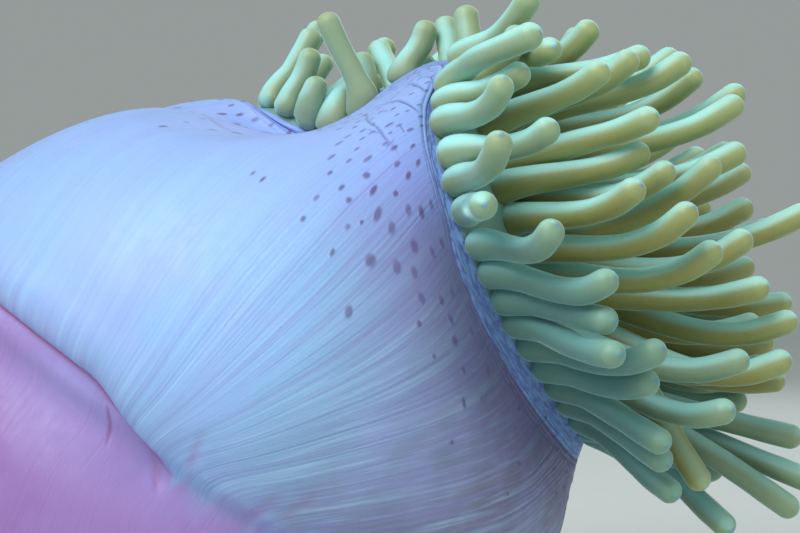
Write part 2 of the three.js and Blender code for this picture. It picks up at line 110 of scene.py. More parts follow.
RADIUS = 4.3                # half the thickness at mid length
CLEAR = 1.3                 # free space kept between two tentacles
ROOT = 3.0                  # depth of the first knot in the disc
SPACING = 9.2               # least distance between two roots
KNOTS = 7                   # points along a tentacle
AXIS = np.array([0.95, -0.08, 0.24])    # the way the crown points

# Rows from the margin inward: share of the disc radius, count, length.
ROWS = [
    (0.935, 33, 54), (0.82, 40, 66), (0.70, 34, 70),
    (0.58, 26, 72), (0.46, 18, 74), (0.34, 11, 74),
]
FREE_FROM = 0.313           # turn where the margin row has no posed tentacle any more
FREE_SPAN = 0.717           # turns from there to the first posed one
FREE_START = 0.9            # spacings before the first root of that row
FREE_MORE = 0.8             # how many more spacings than roots the span has
NEAR_TURN = 0.2             # turn of the middle of the posed side
HIGH_TURN = 0.42            # turn of the high corner of the margin
NOTCH_TURN = 0.5            # turn of the notch of the margin, where the tentacles are shortest
PLAY = 0.3                  # how unevenly the inner roots stand, as a share of their spacing

# How a posed tentacle leaves the disc, as shares of a unit direction.
LEAD_OUT = 0.75
LEAD_UP = 0.55
LEAD_AIM = 0.5
LIFT = 1.2                  # turn up of a posed tip whose lift is 1
ROOT_PULL = 0.33            # shares of the span over which root and tip keep their direction
TIP_PULL = 0.4

# How the other tentacles lie, as shares of a unit direction.
LEAN = 1.35                 # lean outward at the margin
LEAN_RISING = 0.5           # share of the lean's height kept where it rises
LEAN_FALLING = 0.9          # and where it falls
LEAN_FADE = 1.2             # how fast the lean fades inward
SHELTER = 0.6               # how much straighter the inner rows stand behind the posed ones
SHELTER_WIDTH = 0.13        # half width of that place in turns
NEAR_WIDTH = 0.115          # half width in turns of the place where row 1 is left free
STRAY = 0.4                 # unevenness of the directions
TURN_UP = 0.13              # least turn up of the tips
TURN_UP_PLAY = 0.5          # and its unevenness
TURN_ALONG = 0.4            # turn of the tips along the crown
TURN_LATE = 1.6             # how late along the tentacle it turns
LENGTH_LEAST = 0.88         # least length, as a share of its row's
LENGTH_PLAY = 0.24          # and its unevenness
NOTCH_WIDTH = 0.15          # half width of the notch in turns
NOTCH_SHRINK = 0.35         # how much shorter the tentacles are in the notch
SAG = 0.28
SWAY = 0.7

# How the tentacles are pushed apart.
ROUNDS = 140                # steps
REACH = 2 * RADIUS + CLEAR
LISTED = 8                  # steps between two listings of neighbours, and their extra reach
ROOT_EASE = [0, 0.25]       # how freely the first knots move, where the others have 1
HELD_EASE = 0.15            # how freely a posed tentacle moves, where the others have 1
PUSH = 0.9                  # share of an overlap undone in one step
STIFFNESS = 0.12            # share of a change of curve undone in one step
FIRM = 8                    # only a knot with less than one FIRMth of the freedom moves less
TINY = 1e-6                 # keeps a division away from zero

# The knuckles at the roots of the margin row.
KNUCKLE_FADE = (3.0, 23.0)  # where up the tentacle they start and end fading
KNUCKLE_SHIFT = 3.6         # how far they hang over the margin
KNUCKLE_ROUND = 5.0         # length of their rounded end
ROOM_OVERLAP = 1.04         # how far they run into each other
ROOM_MOST = 7.1             # most half width along the margin
UPPER_WAY = np.array([-0.36, -0.24, 0.90])   # the way the painted lit side of a tentacle faces
UPPER_FROM = 0.28           # how far a place faces that way where the painted lit side starts
KNUCKLE_LEAST = 0.01        # keeps the first ring of the rounded end open
RIM_STEP = 0.002            # turns over which the way along the margin is taken

# The thickness of a tentacle along its length, as shares of half its thickness at mid length.
LOW_WIDTH = 1.05            # near the root
TAPER = 0.13                # what it loses on its way
TAPER_SPAN = (0.05, 0.9)    # shares of the length between which it does
FLARE = 0.30                # what it has more right at the root
FLARE_FADE = 3.6            # and how far up this reaches
ROOT_SWELL = 0.24           # what the inner tentacles have more there
ROOT_FADE = 15.0            # and how far up this reaches
CLUB = 0.07                 # what it has more near the tip
CLUB_SPAN = (17, 7)         # distances from the tip between which this grows
LUMPS = 0.025               # its unevenness
LUMP_CELLS = 5              # how many lumps a tentacle has
LUMP_APART = 9              # how far apart the lumps of two tentacles are taken
TIP_ROUND = 0.98            # length of the rounded tip
TIP_PLAY = 0.10             # and its unevenness
TIP_INSIDE = 0.25           # how much of the tip lies within the length
TIP_PAST = 0.7              # how far the tip lies past the last knot
TIP_HOLE = 0.02             # width of the last ring
RING_EASE = 1.15            # how much closer the rings lie near the root
SEAM_WAY = np.array([0.31, 0.57, 0.76])     # sets where the net of a tentacle is joined
RUN_STEPS = 241             # points along a smooth curve
POSED_STEPS = 201           # points along a posed tentacle while it is evened out

# Posed tentacles of the near side and the notch: row, turn of the root, tip x y z, lift of the tip.
POSED = [
    (0, 0.313, 114, -66, 218, 0.1), (0, 0.29, 107, -84, 212, 0.9), (0, 0.25, 122, -80, 199, 0.5),
    (0, 0.225, 105, -104, 193, 0.7), (0, 0.2, 100, -110, 174, 0), (0, 0.175, 121, -100, 167, 0.9),
    (0, 0.155, 138, -96, 151, 0.7), (0, 0.135, 138, -92, 140, 0), (0, 0.118, 140, -98, 131, 0.1),
    (0, 0.1, 155, -82, 130, 0.5), (0, 0.082, 154, -72, 120, 0.4), (0, 0.064, 159, -66, 100, 0),
    (0, 0.047, 161, -56, 93, 0), (0, 0.028, 166, -44, 81, 0.1),
    (0, 0.562, 42, 32, 244, 0.1), (0, 0.543, 42, 22, 235, 0.5), (0, 0.525, 45, 14, 224, 0.3),
    (0, 0.502, 60, 32, 227, 0.2), (0, 0.478, 49, 4, 246, 0), (0, 0.447, 85, 0, 242, 0.2),
    (1, 0.505, 64, 25, 234, 0.2), (1, 0.472, 66, 34, 239, 0.2), (1, 0.448, 83, 14, 233, 0.1),
    (1, 0.42, 92, 8, 244, 0.2), (1, 0.392, 99, -6, 246, 0.2),
    (1, 0.34, 117, -44, 232, 0.3), (1, 0.08, 185, -62, 126, 0.45), (1, 0.055, 180, -64, 110, 0.5),
    (1, 0.035, 209, -28, 73, 0), (1, 0.015, 212, -20, 96, 0.1), (1, -0.005, 216, -26, 83, 0),
    (1, -0.03, 188, -30, 67, 0),
    (2, 0.41, 125, -50, 229, 0.3), (2, 0.29, 140, -62, 219, 0.25), (2, 0.17, 148, -84, 180, 0.4),
    (2, 0.14, 165, -80, 173, 0.6), (2, 0.115, 175, -68, 161, 0.6), (2, 0.06, 202, -48, 125, 0.6),
    (2, 0.03, 178, -38, 83, 0.1), (2, 0.205, 154, -58, 192, 0.2), (2, 0.354, 157, -34, 227, 0.2),
    (3, 0.38, 141, -22, 238, 0.3), (3, 0.31, 152, -44, 225, 0.4), (3, 0.225, 155, -68, 203, 0.25),
    (3, 0.18, 161, -64, 189, 0.35), (3, 0.128, 177, -56, 189, 0.45), (3, 0.1, 188, -52, 165, 0.6),
    (3, 0.065, 205, -44, 138, 0.5),
    (4, 0.32, 172, -30, 226, 0.3), (4, 0.22, 189, -34, 211, 0.35), (4, 0.09, 212, -36, 174, 0.35),
]

# ---- sizes of the skin's detail ---------------------------------------------------------------

# Rows of the skin's net between these height shares: from, to, count.
NET_ROWS = [(0, 0.36, 40), (0.36, 0.52, 80), (0.52, 0.72, 80), (0.72, 1, 170)]
DISC_ROWS = 84
MOUTH_ROWS = 26
MOUTH = 0.24                # share of the disc radius where the lips begin
MOUTH_HOLE = 0.004          # and where the last row lies
SLIT = 0.2                  # how narrow the slit of the mouth is
SLIT_TO = 0.11              # share of the disc radius where it has opened out
RIDGES = 26                 # ridges of the lips
RIDGE_HEIGHT = 0.5
RIDGE_BAND = (0.13, 0.05)   # middle and half width of their band as shares of the disc radius
WELT = (1.6, 2.0)           # rise of the disc round each root, and how far it reaches
DISC_COLOUR = 0.985         # share of the disc radius where the blue edge has ended
FOOT_ROWS = (0.02, 0.96, 14)    # rows under the foot: first and last share of its radius, count
ROUNDING = (5.0, 30)        # rows beside the margin that are rounded off, and how often
FOOT_PLAIN = 0.03           # height share below which the skin has no relief
LIE_RADIUS = 100.0          # radius of the widest ring, at which the lie of the skin is in millimetres
LIE_HEIGHT = 300.0          # length of the skin from foot to margin

# Lips from the centre out: share of the disc radius, rise along NORMAL, stretch across.
LIPS = np.array([
    (0.00, -11, 1.2), (0.035, -9, 1.2), (0.06, -3, 1.2), (0.08, 1.8, 1.18), (0.105, 3.8, 1.15),
    (0.15, 3.9, 1.1), (0.19, 1, 1.05), (0.24, 0, 1.0),
])

# Marks of the near side are placed by x and z on the upright plane through the middle of the animal,
# as seen from EYE.  Warts: x, z, half length, half width.
EYE = np.array([75.6, -580.0, 156.2])
NEAR_WARTS = [
    # large ones, from the middle of the side up to the margin
    (65, 158.5, 2.3, 1.8), (74.5, 156, 2.5, 1.4), (80.5, 154, 2.1, 1.2), (80.5, 163.5, 2.5, 1.4),
    (72.5, 170, 2.4, 1.3), (67.5, 175, 2.9, 1.2), (78.5, 176.5, 2.2, 1.1), (83, 175.5, 2.3, 1.1),
    (86.5, 178.5, 1.9, 0.9), (87, 161.5, 2.2, 0.9), (90.5, 164.5, 2, 1.2), (66, 183.5, 2.4, 0.9),
    (63.5, 189, 1.5, 1.2), (64, 195, 2.2, 0.8), (54.5, 184.5, 1.5, 0.8), (57, 180, 1.2, 1),
    (74, 182.5, 1.2, 0.9), (74.5, 193, 1.6, 0.8), (78.5, 189, 1.9, 0.9), (73.5, 199, 1.8, 0.8),
    (82, 193.5, 1.8, 0.7), (80, 199.5, 1.6, 0.5), (56.5, 170.5, 1.1, 0.9), (61.5, 172, 0.9, 0.6),
    # small ones on the left, up to the high corner
    (51, 161.5, 1.4, 0.8), (40.5, 173.5, 1.2, 0.8), (45.5, 181, 1.5, 0.7), (50.5, 190, 1.3, 0.6),
    (57, 194, 1.5, 0.5), (51, 195.5, 2, 0.5), (53.5, 200.5, 2.2, 0.5), (22.5, 190, 1.3, 0.5),
    (26, 187.5, 1.6, 0.5), (62, 205, 1.6, 0.5), (65.5, 204.5, 1.7, 0.5), (71.5, 207, 2.4, 0.5),
    (70, 200.5, 1.5, 0.5), (75, 207, 1.6, 0.5), (79, 205.5, 1.8, 0.6),
    # the ones lower down beside the margin
    (57, 140, 2.2, 1.3), (83, 145, 2.1, 1.2), (90.5, 144, 1.9, 1.1), (94.5, 147, 2, 1),
    (94, 137, 2, 1.1), (101.5, 140.5, 2.2, 0.8), (101, 133, 1.9, 0.9), (82.5, 136, 1.2, 1),
    (95, 129.5, 1.8, 1.5), (87.5, 124, 0.9, 0.7), (98, 119, 1.5, 0.9), (107, 118.5, 1.9, 1.6),
    (113.5, 119, 1.7, 1.2), (110.5, 126, 1.7, 0.8), (115.5, 113, 1.5, 1.1), (98.5, 107, 2.2, 1),
    (105, 108.5, 1, 0.6), (118.5, 105, 1.5, 0.9), (123.5, 97.5, 1.5, 0.8), (117, 98, 0.9, 0.6),
    (128, 101.5, 1.2, 0.9), (131.5, 95, 1.8, 0.9), (94.5, 93, 0.9, 0.8), (118.5, 85, 1.8, 0.7),
    (114, 74.5, 1.2, 0.5),
]

# Wrinkles of the near side: depth share, half width, then x and z along each.
WRINKLES = [
    # the arc under the high corner, down to the margin
    (1.0, 0.55, [(62.7, 212.5), (70.3, 214.9), (75.9, 215.8), (79.6, 214.3), (82.5, 211.9), (83.9, 208.4)]),
    # two arcs over it
    (0.8, 0.5, [(72.6, 219.6), (76.7, 221.5), (80.7, 221.6), (83.7, 220.3), (85.8, 217.7)]),
    (0.8, 0.45, [(82.1, 225.5), (84.2, 224.7), (87.5, 219.7)]),
    # the fold that leaves it between the warts, and short ones across
    (0.7, 0.55, [(61, 210.8), (63.4, 209.3), (67.8, 206.1), (70.7, 202.4), (73.6, 199.5), (76.9, 193.4)]),
    (0.5, 0.4, [(63.2, 206.1), (66.2, 204.9), (69.3, 204)]),
    (0.5, 0.4, [(70, 198.8), (72.7, 200.9), (74.6, 202.5)]),
    (0.5, 0.4, [(75.4, 207.4), (76.7, 205.8), (77.8, 204)]),
    (0.5, 0.4, [(67.5, 212.1), (70.2, 212.3), (71.8, 211.8)]),
]

# The shallow valley behind the high corner, which hides its end: here turns and height shares.
VALLEY = (0.35, 1.1, [(0.5, 0.795), (0.455, 0.815), (0.435, 0.83), (0.425, 0.84), (0.42, 0.85)])

# Creases of the pink skin, in the same way.
PINK_CREASES = [
    (0.3, 1.6, [(0.5, 78.5), (1, 87.5), (7, 100)]),
    (0.6, 0.6, [(-32, 106), (-30, 98), (-31, 89.5)]),
    (0.4, 1.2, [(-17.5, 90.5), (-13, 82.5), (-12, 72.5)]),
    (0.3, 2.0, [(17.5, 64), (24, 68), (36.5, 76.5)]),
    (0.25, 2.2, [(29.5, 63), (37.5, 68), (50.5, 78.5)]),
]

LINE_STEPS = 90             # points along a wrinkle
LINE_ENDS = 0.35            # share of a wrinkle over which each end fades
LINE_REACH = 0.02           # turns and height share to its sides in which it is looked for
FOLDS_ON_WARTS = 0.5        # how much of the wrinkles a wart hides

# Fine wrinkles beside the blue edge: height share above its start, depth share, unevenness.
EDGE_WRINKLES = [
    (0, 0.9, 0.6), (0.013, 0.25, 2.0), (-0.011, 0.5, 2.0), (-0.02, 0.4, 2.5), (-0.032, 0.3, 3.0),
]
EDGE_WRINKLE_HALF = 0.0026  # half their width as a height share
EDGE_FADING = 0.3           # how much the uneven ones fade along their length
EDGE_FADES = (26, 3)        # and how often, round and up

# Waves that lines follow: size, how many round the body and up it, and use.
EDGE_WAVES = [(0.004, 14, 3, 5), (0.0015, 60, 8, 25)]
PLEAT_WAVES = [(0.8, 36, 2.5, 1), (0.3, 90, 6, 2)]

# The blue edge: height share where it starts, how much narrower it is below the high corner, and
# the turns between which it narrows and widens again.
EDGE = 0.951
EDGE_NARROWER = 0.028
EDGE_NARROWING = (0.17, 0.215)
EDGE_WIDENING = (0.34, 0.42)
EDGE_SOFT = 0.006           # half width of its border as a height share
EDGE_HIDDEN = 0.8           # how much of it is missing in the notch
EDGE_HIDDEN_WIDTH = 0.12    # half width of that place in turns

# The grooves between the pleats, as shares of a pleat and of their depth.
GROOVE_HALF = 0.19
GROOVE_LEAST = 0.2
GROOVE_RARE = 1.6           # how rare deep ones are
GROOVE_FADING = 0.35
GROOVE_FADES = 5            # how often a groove fades from foot to margin
GROOVE_RISE = (0.05, 0.40)  # height shares between which they appear
GROOVE_FULL = 2.6           # width of a pleat from which they are full
FOLDS = (44, 2.2, 7)        # broader folds: how many round and up, and use
FOLD_FULL = 2.2             # width of a pleat from which these are full
FOLD_ON_EDGE = 0.7          # how much weaker they are on the blue edge
PLAIN_PINK = 0.95           # how much of the pleats the pink skin lacks
PLAIN_STRETCHED = 0.75      # and the stretched skin
STRETCHED_TURNS = (0.21, 0.33)
STRETCHED_HEIGHTS = (0.40, 0.60)

# The fold over the pink skin: height share, its rise at the left and the turns where that starts
# and ends, then the turns between which the fold itself starts and ends.
CREASE = 0.415
CREASE_RISE = 0.065
CREASE_RISING = (0.25, 0.30)
CREASE_FALLING = (0.62, 0.75)
CREASE_START = (0.245, 0.262)
CREASE_END = (0.70, 0.78)
CREASE_WIDTHS = (3.0, 7.0)  # how far it reaches up and down
CREASE_LINE = 0.9           # half width of the red line in it
CREASE_SHADE = (1, 6)       # middle and half width of its shade
BULGE = (1.6, 11, 9)        # rise, middle and half width of the bulge over it
BELLY_SHADE = 24                  # how far the painted grey shade reaches up over it

# The border of the pink skin where there is no fold: the turns over which it gets soft, then how
# streaky, how much lower and how wide it is as height shares.
PINK_SOFT = (0.21, 0.262)
PINK_FIRM = (0.72, 0.80)
PINK_STREAKS = (70, 3, 8)   # how many round and up, and use
PINK_STREAKY = 0.05
PINK_LOWER = 0.02
PINK_BORDER = (0.004, 0.006)
PINK_WIDER = (0.05, 0.08)

# Warts tried by rule.  Narrow dashes crowd below the high corner, and the others lie round the
# rest of the body: how many, then the least and the unevenness of each measure.
DASHES = 400
DASH_TURNS = (0.29, 0.13)
DASH_HEIGHTS = (0.83, 0.13)
DASH_LENGTHS = (1.0, 0.9)
DASH_HALF = 0.42
DASH_ROOM = 4.2
WARTS = 1500
WARTS_KEPT = 0.7
WART_HEIGHTS = (0.94, -0.26)    # the highest height share, and how far down they reach
WART_HIGH = 1.4             # how much they crowd near the margin
WART_LENGTHS = (1.1, 1.1)
WART_WIDTHS = (0.4, 0.25)   # as shares of the length
WART_ROOM = (5.2, 18)       # free space high up, and how much more there is low down
WART_SHRINK = 0.35          # how much smaller they are low down
WART_FADING = (0.80, 0.68)  # height shares between which they get smaller
WART_THINNING = (0.86, 0.68)    # and rarer
WARTS_PLACED = (0.04, 0.42)     # turns between which only the placed ones lie

# How far a wart is turned from the pleats: degrees, and turns from the lowest point between which.
WART_TURNS = [(95, 0.30, 0.15), (60, 0.13, 0.08)]
WART_FULL = (0.65, 0.35)    # strength of the faintest wart, and its unevenness
WART_SOFT = (0.55, 1.25)    # where its border starts and ends, in half sizes
WART_REACH = (14, 34)       # rows and columns of the net to its sides in which it is looked for

# The map of the skin: the body lies below BODY_MAP, and the tentacles lie above FINGER_MAP in rows
# of MAP_COLUMNS, with a gap round each.
BODY_MAP = 0.62
FINGER_MAP = 0.63
MAP_COLUMNS = 14
MAP_GAP = (0.002, 0.001)
COLUMN, TENTACLE = 0, 1     # places of the two materials on the skin

# Markings of the skin that its materials read, each from 0 to 1.
BODY_MARKS = ("height_share", "pleat", "pink", "crease", "fold_shade", "wrinkle", "wart", "rim",
              "olive", "streaky", "smooth_skin", "belly")
# upper marks the side of a tentacle that is painted paler as painted light.
FINGER_MARKS = ("outer", "upper")

# ---- small helpers ----------------------------------------------------------------------------

def smooth(start, end, x):
    k = np.clip((x - start) / (end - start), 0, 1)
    return k * k * (3 - 2 * k)


def bell(x, width):
    return np.exp(-(x / width) ** 2)


def wrap(turns):
    return turns - np.round(turns)


def unit(a):
    return a / np.linalg.norm(a, axis=-1, keepdims=True)


def chance(n, k):
    """Fixed numbers between 0 and 1 for the things numbered n and use k."""
    x = np.sin(np.asarray(n, dtype=float) * 12.9898 + k * 78.233) * 43758.5453
    return x - np.floor(x)


def noise(x, y, k, period):
    """Smooth unevenness from -1 to 1 with cells of size 1, which repeats in x after period cells."""
    x, y = np.broadcast_arrays(x, y)
    cell_x = np.floor(x)
    cell_y = np.floor(y)
    fx = smooth(0, 1, x - cell_x)
    fy = smooth(0, 1, y - cell_y)

    def corner(dx, dy):
        return chance((cell_x + dx) % period + 57 * (cell_y + dy), k)

    low = corner(0, 0) * (1 - fx) + corner(1, 0) * fx
    high = corner(0, 1) * (1 - fx) + corner(1, 1) * fx
    return 2 * (low * (1 - fy) + high * fy) - 1


def linear(text):
    """An sRGB hex colour as linear RGBA."""
    values = [int(text[i:i + 2], 16) / 255 for i in (1, 3, 5)]
    rgb = [v / 12.92 if v <= 0.04045 else ((v + 0.055) / 1.055) ** 2.4 for v in values]
    return (*rgb, 1.0)


# ---- the surface of the body ------------------------------------------------------------------

def station(t):
    """Smooth values of the columns of STATIONS at height shares t."""
    shares, values = STATIONS[:, 0], STATIONS[:, 1:]
    steps = np.diff(shares)
    slopes = np.diff(values, axis=0) / steps[:, None]
    inner = steps[1:, None] * slopes[:-1] + steps[:-1, None] * slopes[1:]
    tangents = np.vstack([slopes[:1], inner / (steps[1:] + steps[:-1])[:, None], slopes[-1:]])
    i = np.clip(np.searchsorted(shares, t, side="right") - 1, 0, len(steps) - 1)
    h = steps[i][..., None]
    s = (t[..., None] - shares[i][..., None]) / h
    return ((2 * s**3 - 3 * s**2 + 1) * values[i] + (s**3 - 2 * s**2 + s) * h * tangents[i]
            + (3 * s**2 - 2 * s**3) * values[i + 1] + (s**3 - s**2) * h * tangents[i + 1])


def ring(v, t):
    """Plain ring between the two rails: v in turns, 0 at the right, 0.25 near, 0.5 at the left."""
    left_x, left_z, right_x, right_z, depth = np.moveaxis(station(t), -1, 0)
    c = np.cos(2 * np.pi * v)
    s = np.sin(2 * np.pi * v)
    x = (left_x + right_x) / 2 + (right_x - left_x) / 2 * c
    z = (left_z + right_z) / 2 + (right_z - left_z) / 2 * c
    return np.stack([x, -depth * s, z], -1)


def margin(v):
    """Smooth closed curve through the points of MARGIN."""
    n = len(MARGIN)
    x = (v % 1.0) * n
    i = np.floor(x).astype(int)
    f = (x - i)[..., None]
    a, b, c, d = (MARGIN[(i + k) % n] for k in (-1, 0, 1, 2))
    return 0.5 * (2 * b + (c - a) * f + (2 * a - 5 * b + 4 * c - d) * f**2
                  + (3 * b - a - 3 * c + d) * f**3)


def shell(v, t):
    """Outer surface of the column, which runs over into the wavy margin."""
    late = RUN_FROM + RUN_LATER * bell(wrap(v - HIGH_TURN), RUN_WIDTH)
    share = smooth(late, 1, t) ** RUN_EASE
    point = ring(v, t) + (margin(v) - ring(v, np.ones_like(t))) * share[..., None]
    for depth, turn, width, middle, height in DENTS:
        dent = depth * bell(wrap(v - turn), width) * bell(t - middle, height)
        point = point + dent[..., None] * DENT_WAY
    return point


def sweep(u, t):
    """Turn on the body where the pleat that is numbered by u runs at height share t.  The pleats
    are gathered on the near side of the waist and fan out from there to the margin."""
    c = np.cos(2 * np.pi * u)
    gathered = smooth(0, WAIST[0], t) * (1 - smooth(WAIST[1], 1, t))
    return u + (GATHER * c + GATHER_RIGHT * ((1 + c) / 2) ** 2) * gathered


EVEN_TURNS = np.arange(64) / 64
MARGIN_CENTRE = shell(EVEN_TURNS, np.ones_like(EVEN_TURNS)).mean(axis=0)


def disc(v, rho):
    """Domed oral disc, from its middle (rho 0) to the margin (rho 1)."""
    v, rho = np.broadcast_arrays(np.asarray(v, dtype=float), np.asarray(rho, dtype=float))
    flat = MARGIN_CENTRE + (shell(v, np.ones(v.shape)) - MARGIN_CENTRE) * rho[..., None]
    return flat + NORMAL * (DOME * (1 - rho**2))[..., None]


# ---- the run of the tentacles -----------------------------------------------------------------

def outward(v):
    out = margin(np.array([v]))[0] - MARGIN_CENTRE
    return unit(out - NORMAL * (out @ NORMAL))


def posed_path(root, v, tip, lift):
    """Even points along a posed tentacle that leaves the disc and lifts its tip."""
    span = np.linalg.norm(tip - root)
    aim = (tip - root) / span
    lead = unit(outward(v) * LEAD_OUT + NORMAL * LEAD_UP + aim * LEAD_AIM)
    end = unit(aim + UP * LIFT * lift)
    corners = [root - lead * ROOT, root + lead * ROOT_PULL * span, tip - end * TIP_PULL * span, tip]

    def curve(s):
        s = s[:, None]
        weights = [(1 - s)**3, 3 * s * (1 - s)**2, 3 * s**2 * (1 - s), s**3]
        return sum(w * c for w, c in zip(weights, corners))

    fine = np.linspace(0, 1, POSED_STEPS)
    lengths = np.linalg.norm(np.diff(curve(fine), axis=0), axis=1)
    travelled = np.concatenate([[0], np.cumsum(lengths)])
    return curve(np.interp(np.linspace(0, travelled[-1], KNOTS), travelled, fine))


def loose_path(root, v, row, n):
    """Points along a tentacle that follows the crown: it leans outward near the margin, sags in
    the middle and turns up at the tip."""
    rho, _, full = ROWS[row]
    upright = 1 - SHELTER * bell(wrap(v - NEAR_TURN), SHELTER_WIDTH) if row > 0 else 1
    lean = outward(v)
    lean[2] *= LEAN_RISING if lean[2] > 0 else LEAN_FALLING
    lean = lean * LEAN * rho**LEAN_FADE * upright
    stray = np.array([chance(n, k) - 0.5 for k in (3, 4, 5)])
    start = unit(AXIS + lean + NORMAL * (1 - rho) + stray * STRAY)
    shorter = 1 - NOTCH_SHRINK * bell(wrap(v - NOTCH_TURN), NOTCH_WIDTH)
    length = full * (LENGTH_LEAST + LENGTH_PLAY * chance(n, 6)) * shorter
    bend = UP * (TURN_UP + TURN_UP_PLAY * chance(n, 7)) + AXIS * TURN_ALONG * rho
    side = unit(np.cross(start, UP)) * (chance(n, 8) - 0.5) * SWAY

    def way(s):
        hang = -SAG * math.sin(math.pi * s)
        return unit(start + bend * s**TURN_LATE + UP * hang + side * math.sin(1.5 * math.pi * s))

    path = [root - start * ROOT]
    for k in range(1, KNOTS):
        step = unit(way((k - 1) / (KNOTS - 1)) + way(k / (KNOTS - 1)))
        path.append(path[-1] + step * length / (KNOTS - 1))
    return np.array(path)


def plant():
    """Every tentacle with its row, turn, root, points and whether it keeps its pose."""
    found = []

    def add(row, v, root, held, path):
        found.append({"row": row, "v": v, "root": root, "room": 0, "held": held, "path": path})

    for row, v, x, y, z, lift in POSED:
        root = disc(v, ROWS[row][0])
        add(row, v, root, True, posed_path(root, v, np.array([x, y, z], dtype=float), lift))
    n = 0
    for row, (rho, count, _) in enumerate(ROWS):
        for i in range(count):
            n += 1
            if row == 0:
                v = FREE_FROM + (i + FREE_START) * FREE_SPAN / (count + FREE_MORE)
            else:
                v = (i + 0.5 * (row % 2) + PLAY * (chance(n, 1) - 0.5)) / count
            root = disc(v, rho)
            crowded = any(np.linalg.norm(one["root"] - root) < SPACING for one in found)
            behind_posed = row == 1 and abs(wrap(v - NEAR_TURN)) < NEAR_WIDTH
            if not crowded and not behind_posed:
                add(row, v, root, False, loose_path(root, v, row, n))
    return found


def neighbours(flat, owner, rooted):
    """Pairs of points of two tentacles that are close enough to touch within a few steps."""
    squares = (flat**2).sum(axis=1)
    apart = squares[:, None] + squares[None] - 2 * flat @ flat.T
    one, two = np.where(apart < (REACH + LISTED) ** 2)
    keep = (owner[one] < owner[two]) & ~(rooted[one] & rooted[two])
    return one[keep], two[keep]


def spread(found):
    """Pushes the tentacles apart until they lie side by side, each keeping its length and curve."""
    paths = np.array([one["path"] for one in found])
    count = len(paths)
    ease = np.ones((count, KNOTS))
    ease[:, :len(ROOT_EASE)] = ROOT_EASE
    ease[[one["held"] for one in found]] *= HELD_EASE
    lengths = np.linalg.norm(np.diff(paths, axis=1), axis=2)
    curves = np.diff(paths, n=2, axis=1)
    # Every knot, then every point midway between two knots.
    first = np.concatenate([np.arange(KNOTS), np.arange(KNOTS - 1)])
    last = np.concatenate([np.arange(KNOTS), np.arange(1, KNOTS)])
    owner = np.repeat(np.arange(count), len(first))
    first = np.tile(first, count)
    last = np.tile(last, count)
    free = (ease[owner, first] + ease[owner, last]) / 2
    for turn in range(ROUNDS):
        flat = (paths[owner, first] + paths[owner, last]) / 2
        if turn % LISTED == 0:
            one, two = neighbours(flat, owner, first == 0)
        way = flat[two] - flat[one]
        length = np.linalg.norm(way, axis=1) + TINY
        close = length < REACH
        a, b = one[close], two[close]
        way = way[close] * ((REACH - length[close]) / length[close])[:, None]
        total = (free[a] + free[b] + TINY)[:, None]
        moves = np.zeros_like(paths)
        counts = np.zeros((count, KNOTS))
        for side, push in ((a, -way * free[a][:, None] / total), (b, way * free[b][:, None] / total)):
            np.add.at(moves, (owner[side], first[side]), push)
            np.add.at(counts, (owner[side], first[side]), 1)
            between = first[side] != last[side]
            np.add.at(moves, (owner[side][between], last[side][between]), push[between])
            np.add.at(counts, (owner[side][between], last[side][between]), 1)
        share = PUSH / np.maximum(counts, 1) * np.minimum(FIRM * ease, 1)
        paths += moves * share[..., None]
        fixes = (curves - np.diff(paths, n=2, axis=1)) * STIFFNESS
        paths[:, 2:] += fixes * 0.5 * ease[:, 2:, None]
        paths[:, 1:-1] -= fixes * ease[:, 1:-1, None]
        for k in range(KNOTS - 1):
            way = paths[:, k + 1] - paths[:, k]
            length = np.linalg.norm(way, axis=1)
            total = ease[:, k] + ease[:, k + 1] + TINY
            way = way * ((length - lengths[:, k]) / length / total)[:, None]
            paths[:, k] += way * ease[:, k, None]
            paths[:, k + 1] -= way * ease[:, k + 1, None]
    return paths


# ---- relief and markings of the body ----------------------------------------------------------

def grid_noise(u, t, cells, later=0):
    """Unevenness with the given cells round the body and up it, and use."""
    many, high, use = cells
    return noise(u * many, t * high, use + later, many)


def waves(u, t, layers, later=0):
    """Sum of layers of waves.  Lines that are numbered by later have their own ones."""
    return sum(size * grid_noise(u, t, cells, later) for size, *cells in layers)


def uneven(measure, n, k):
    """A measure of thing n between its least value and that value with its unevenness."""
    least, more = measure
    return least + more * chance(n, k)


def crease_share(v):
    """Height share of the deep fold between the pink lower column and the lavender upper one."""
    return CREASE + CREASE_RISE * smooth(*CREASE_RISING, v) * (1 - smooth(*CREASE_FALLING, v))


def pleat_lines(u, t, count):
    """How deep each place is in the fine grooves between two pleats, 0 to 1."""
    phase = u * count + waves(u, t, PLEAT_WAVES)
    number = np.round(phase) % count
    strength = GROOVE_LEAST + (1 - GROOVE_LEAST) * chance(number, 3) ** GROOVE_RARE
    fading = 1 - GROOVE_FADING + GROOVE_FADING * noise(phase, t * GROOVE_FADES, 4, count)
    return strength * fading * bell(phase - np.round(phase), GROOVE_HALF)


def near_places(points, seen):
    """Rows and columns of the net where the near side is seen at the given x and z."""
    facing = (net_normals(points) * (EYE - points)).sum(axis=2) > 0
    flat = EYE + (points - EYE) * (EYE[1] / (EYE[1] - points[..., 1:2]))
    found = []
    for x, z in seen:
        away = np.hypot(flat[..., 0] - x, flat[..., 2] - z)
        found.append(np.unravel_index(np.where(facing, away, np.inf).argmin(), away.shape))
    return found


def on_skin(points, v, t, lines):
    """The given lines of the front view with turns and height shares along them."""
    return [(depth, half, [(v[place], t[place]) for place in near_places(points, seen)])
            for depth, half, seen in lines]


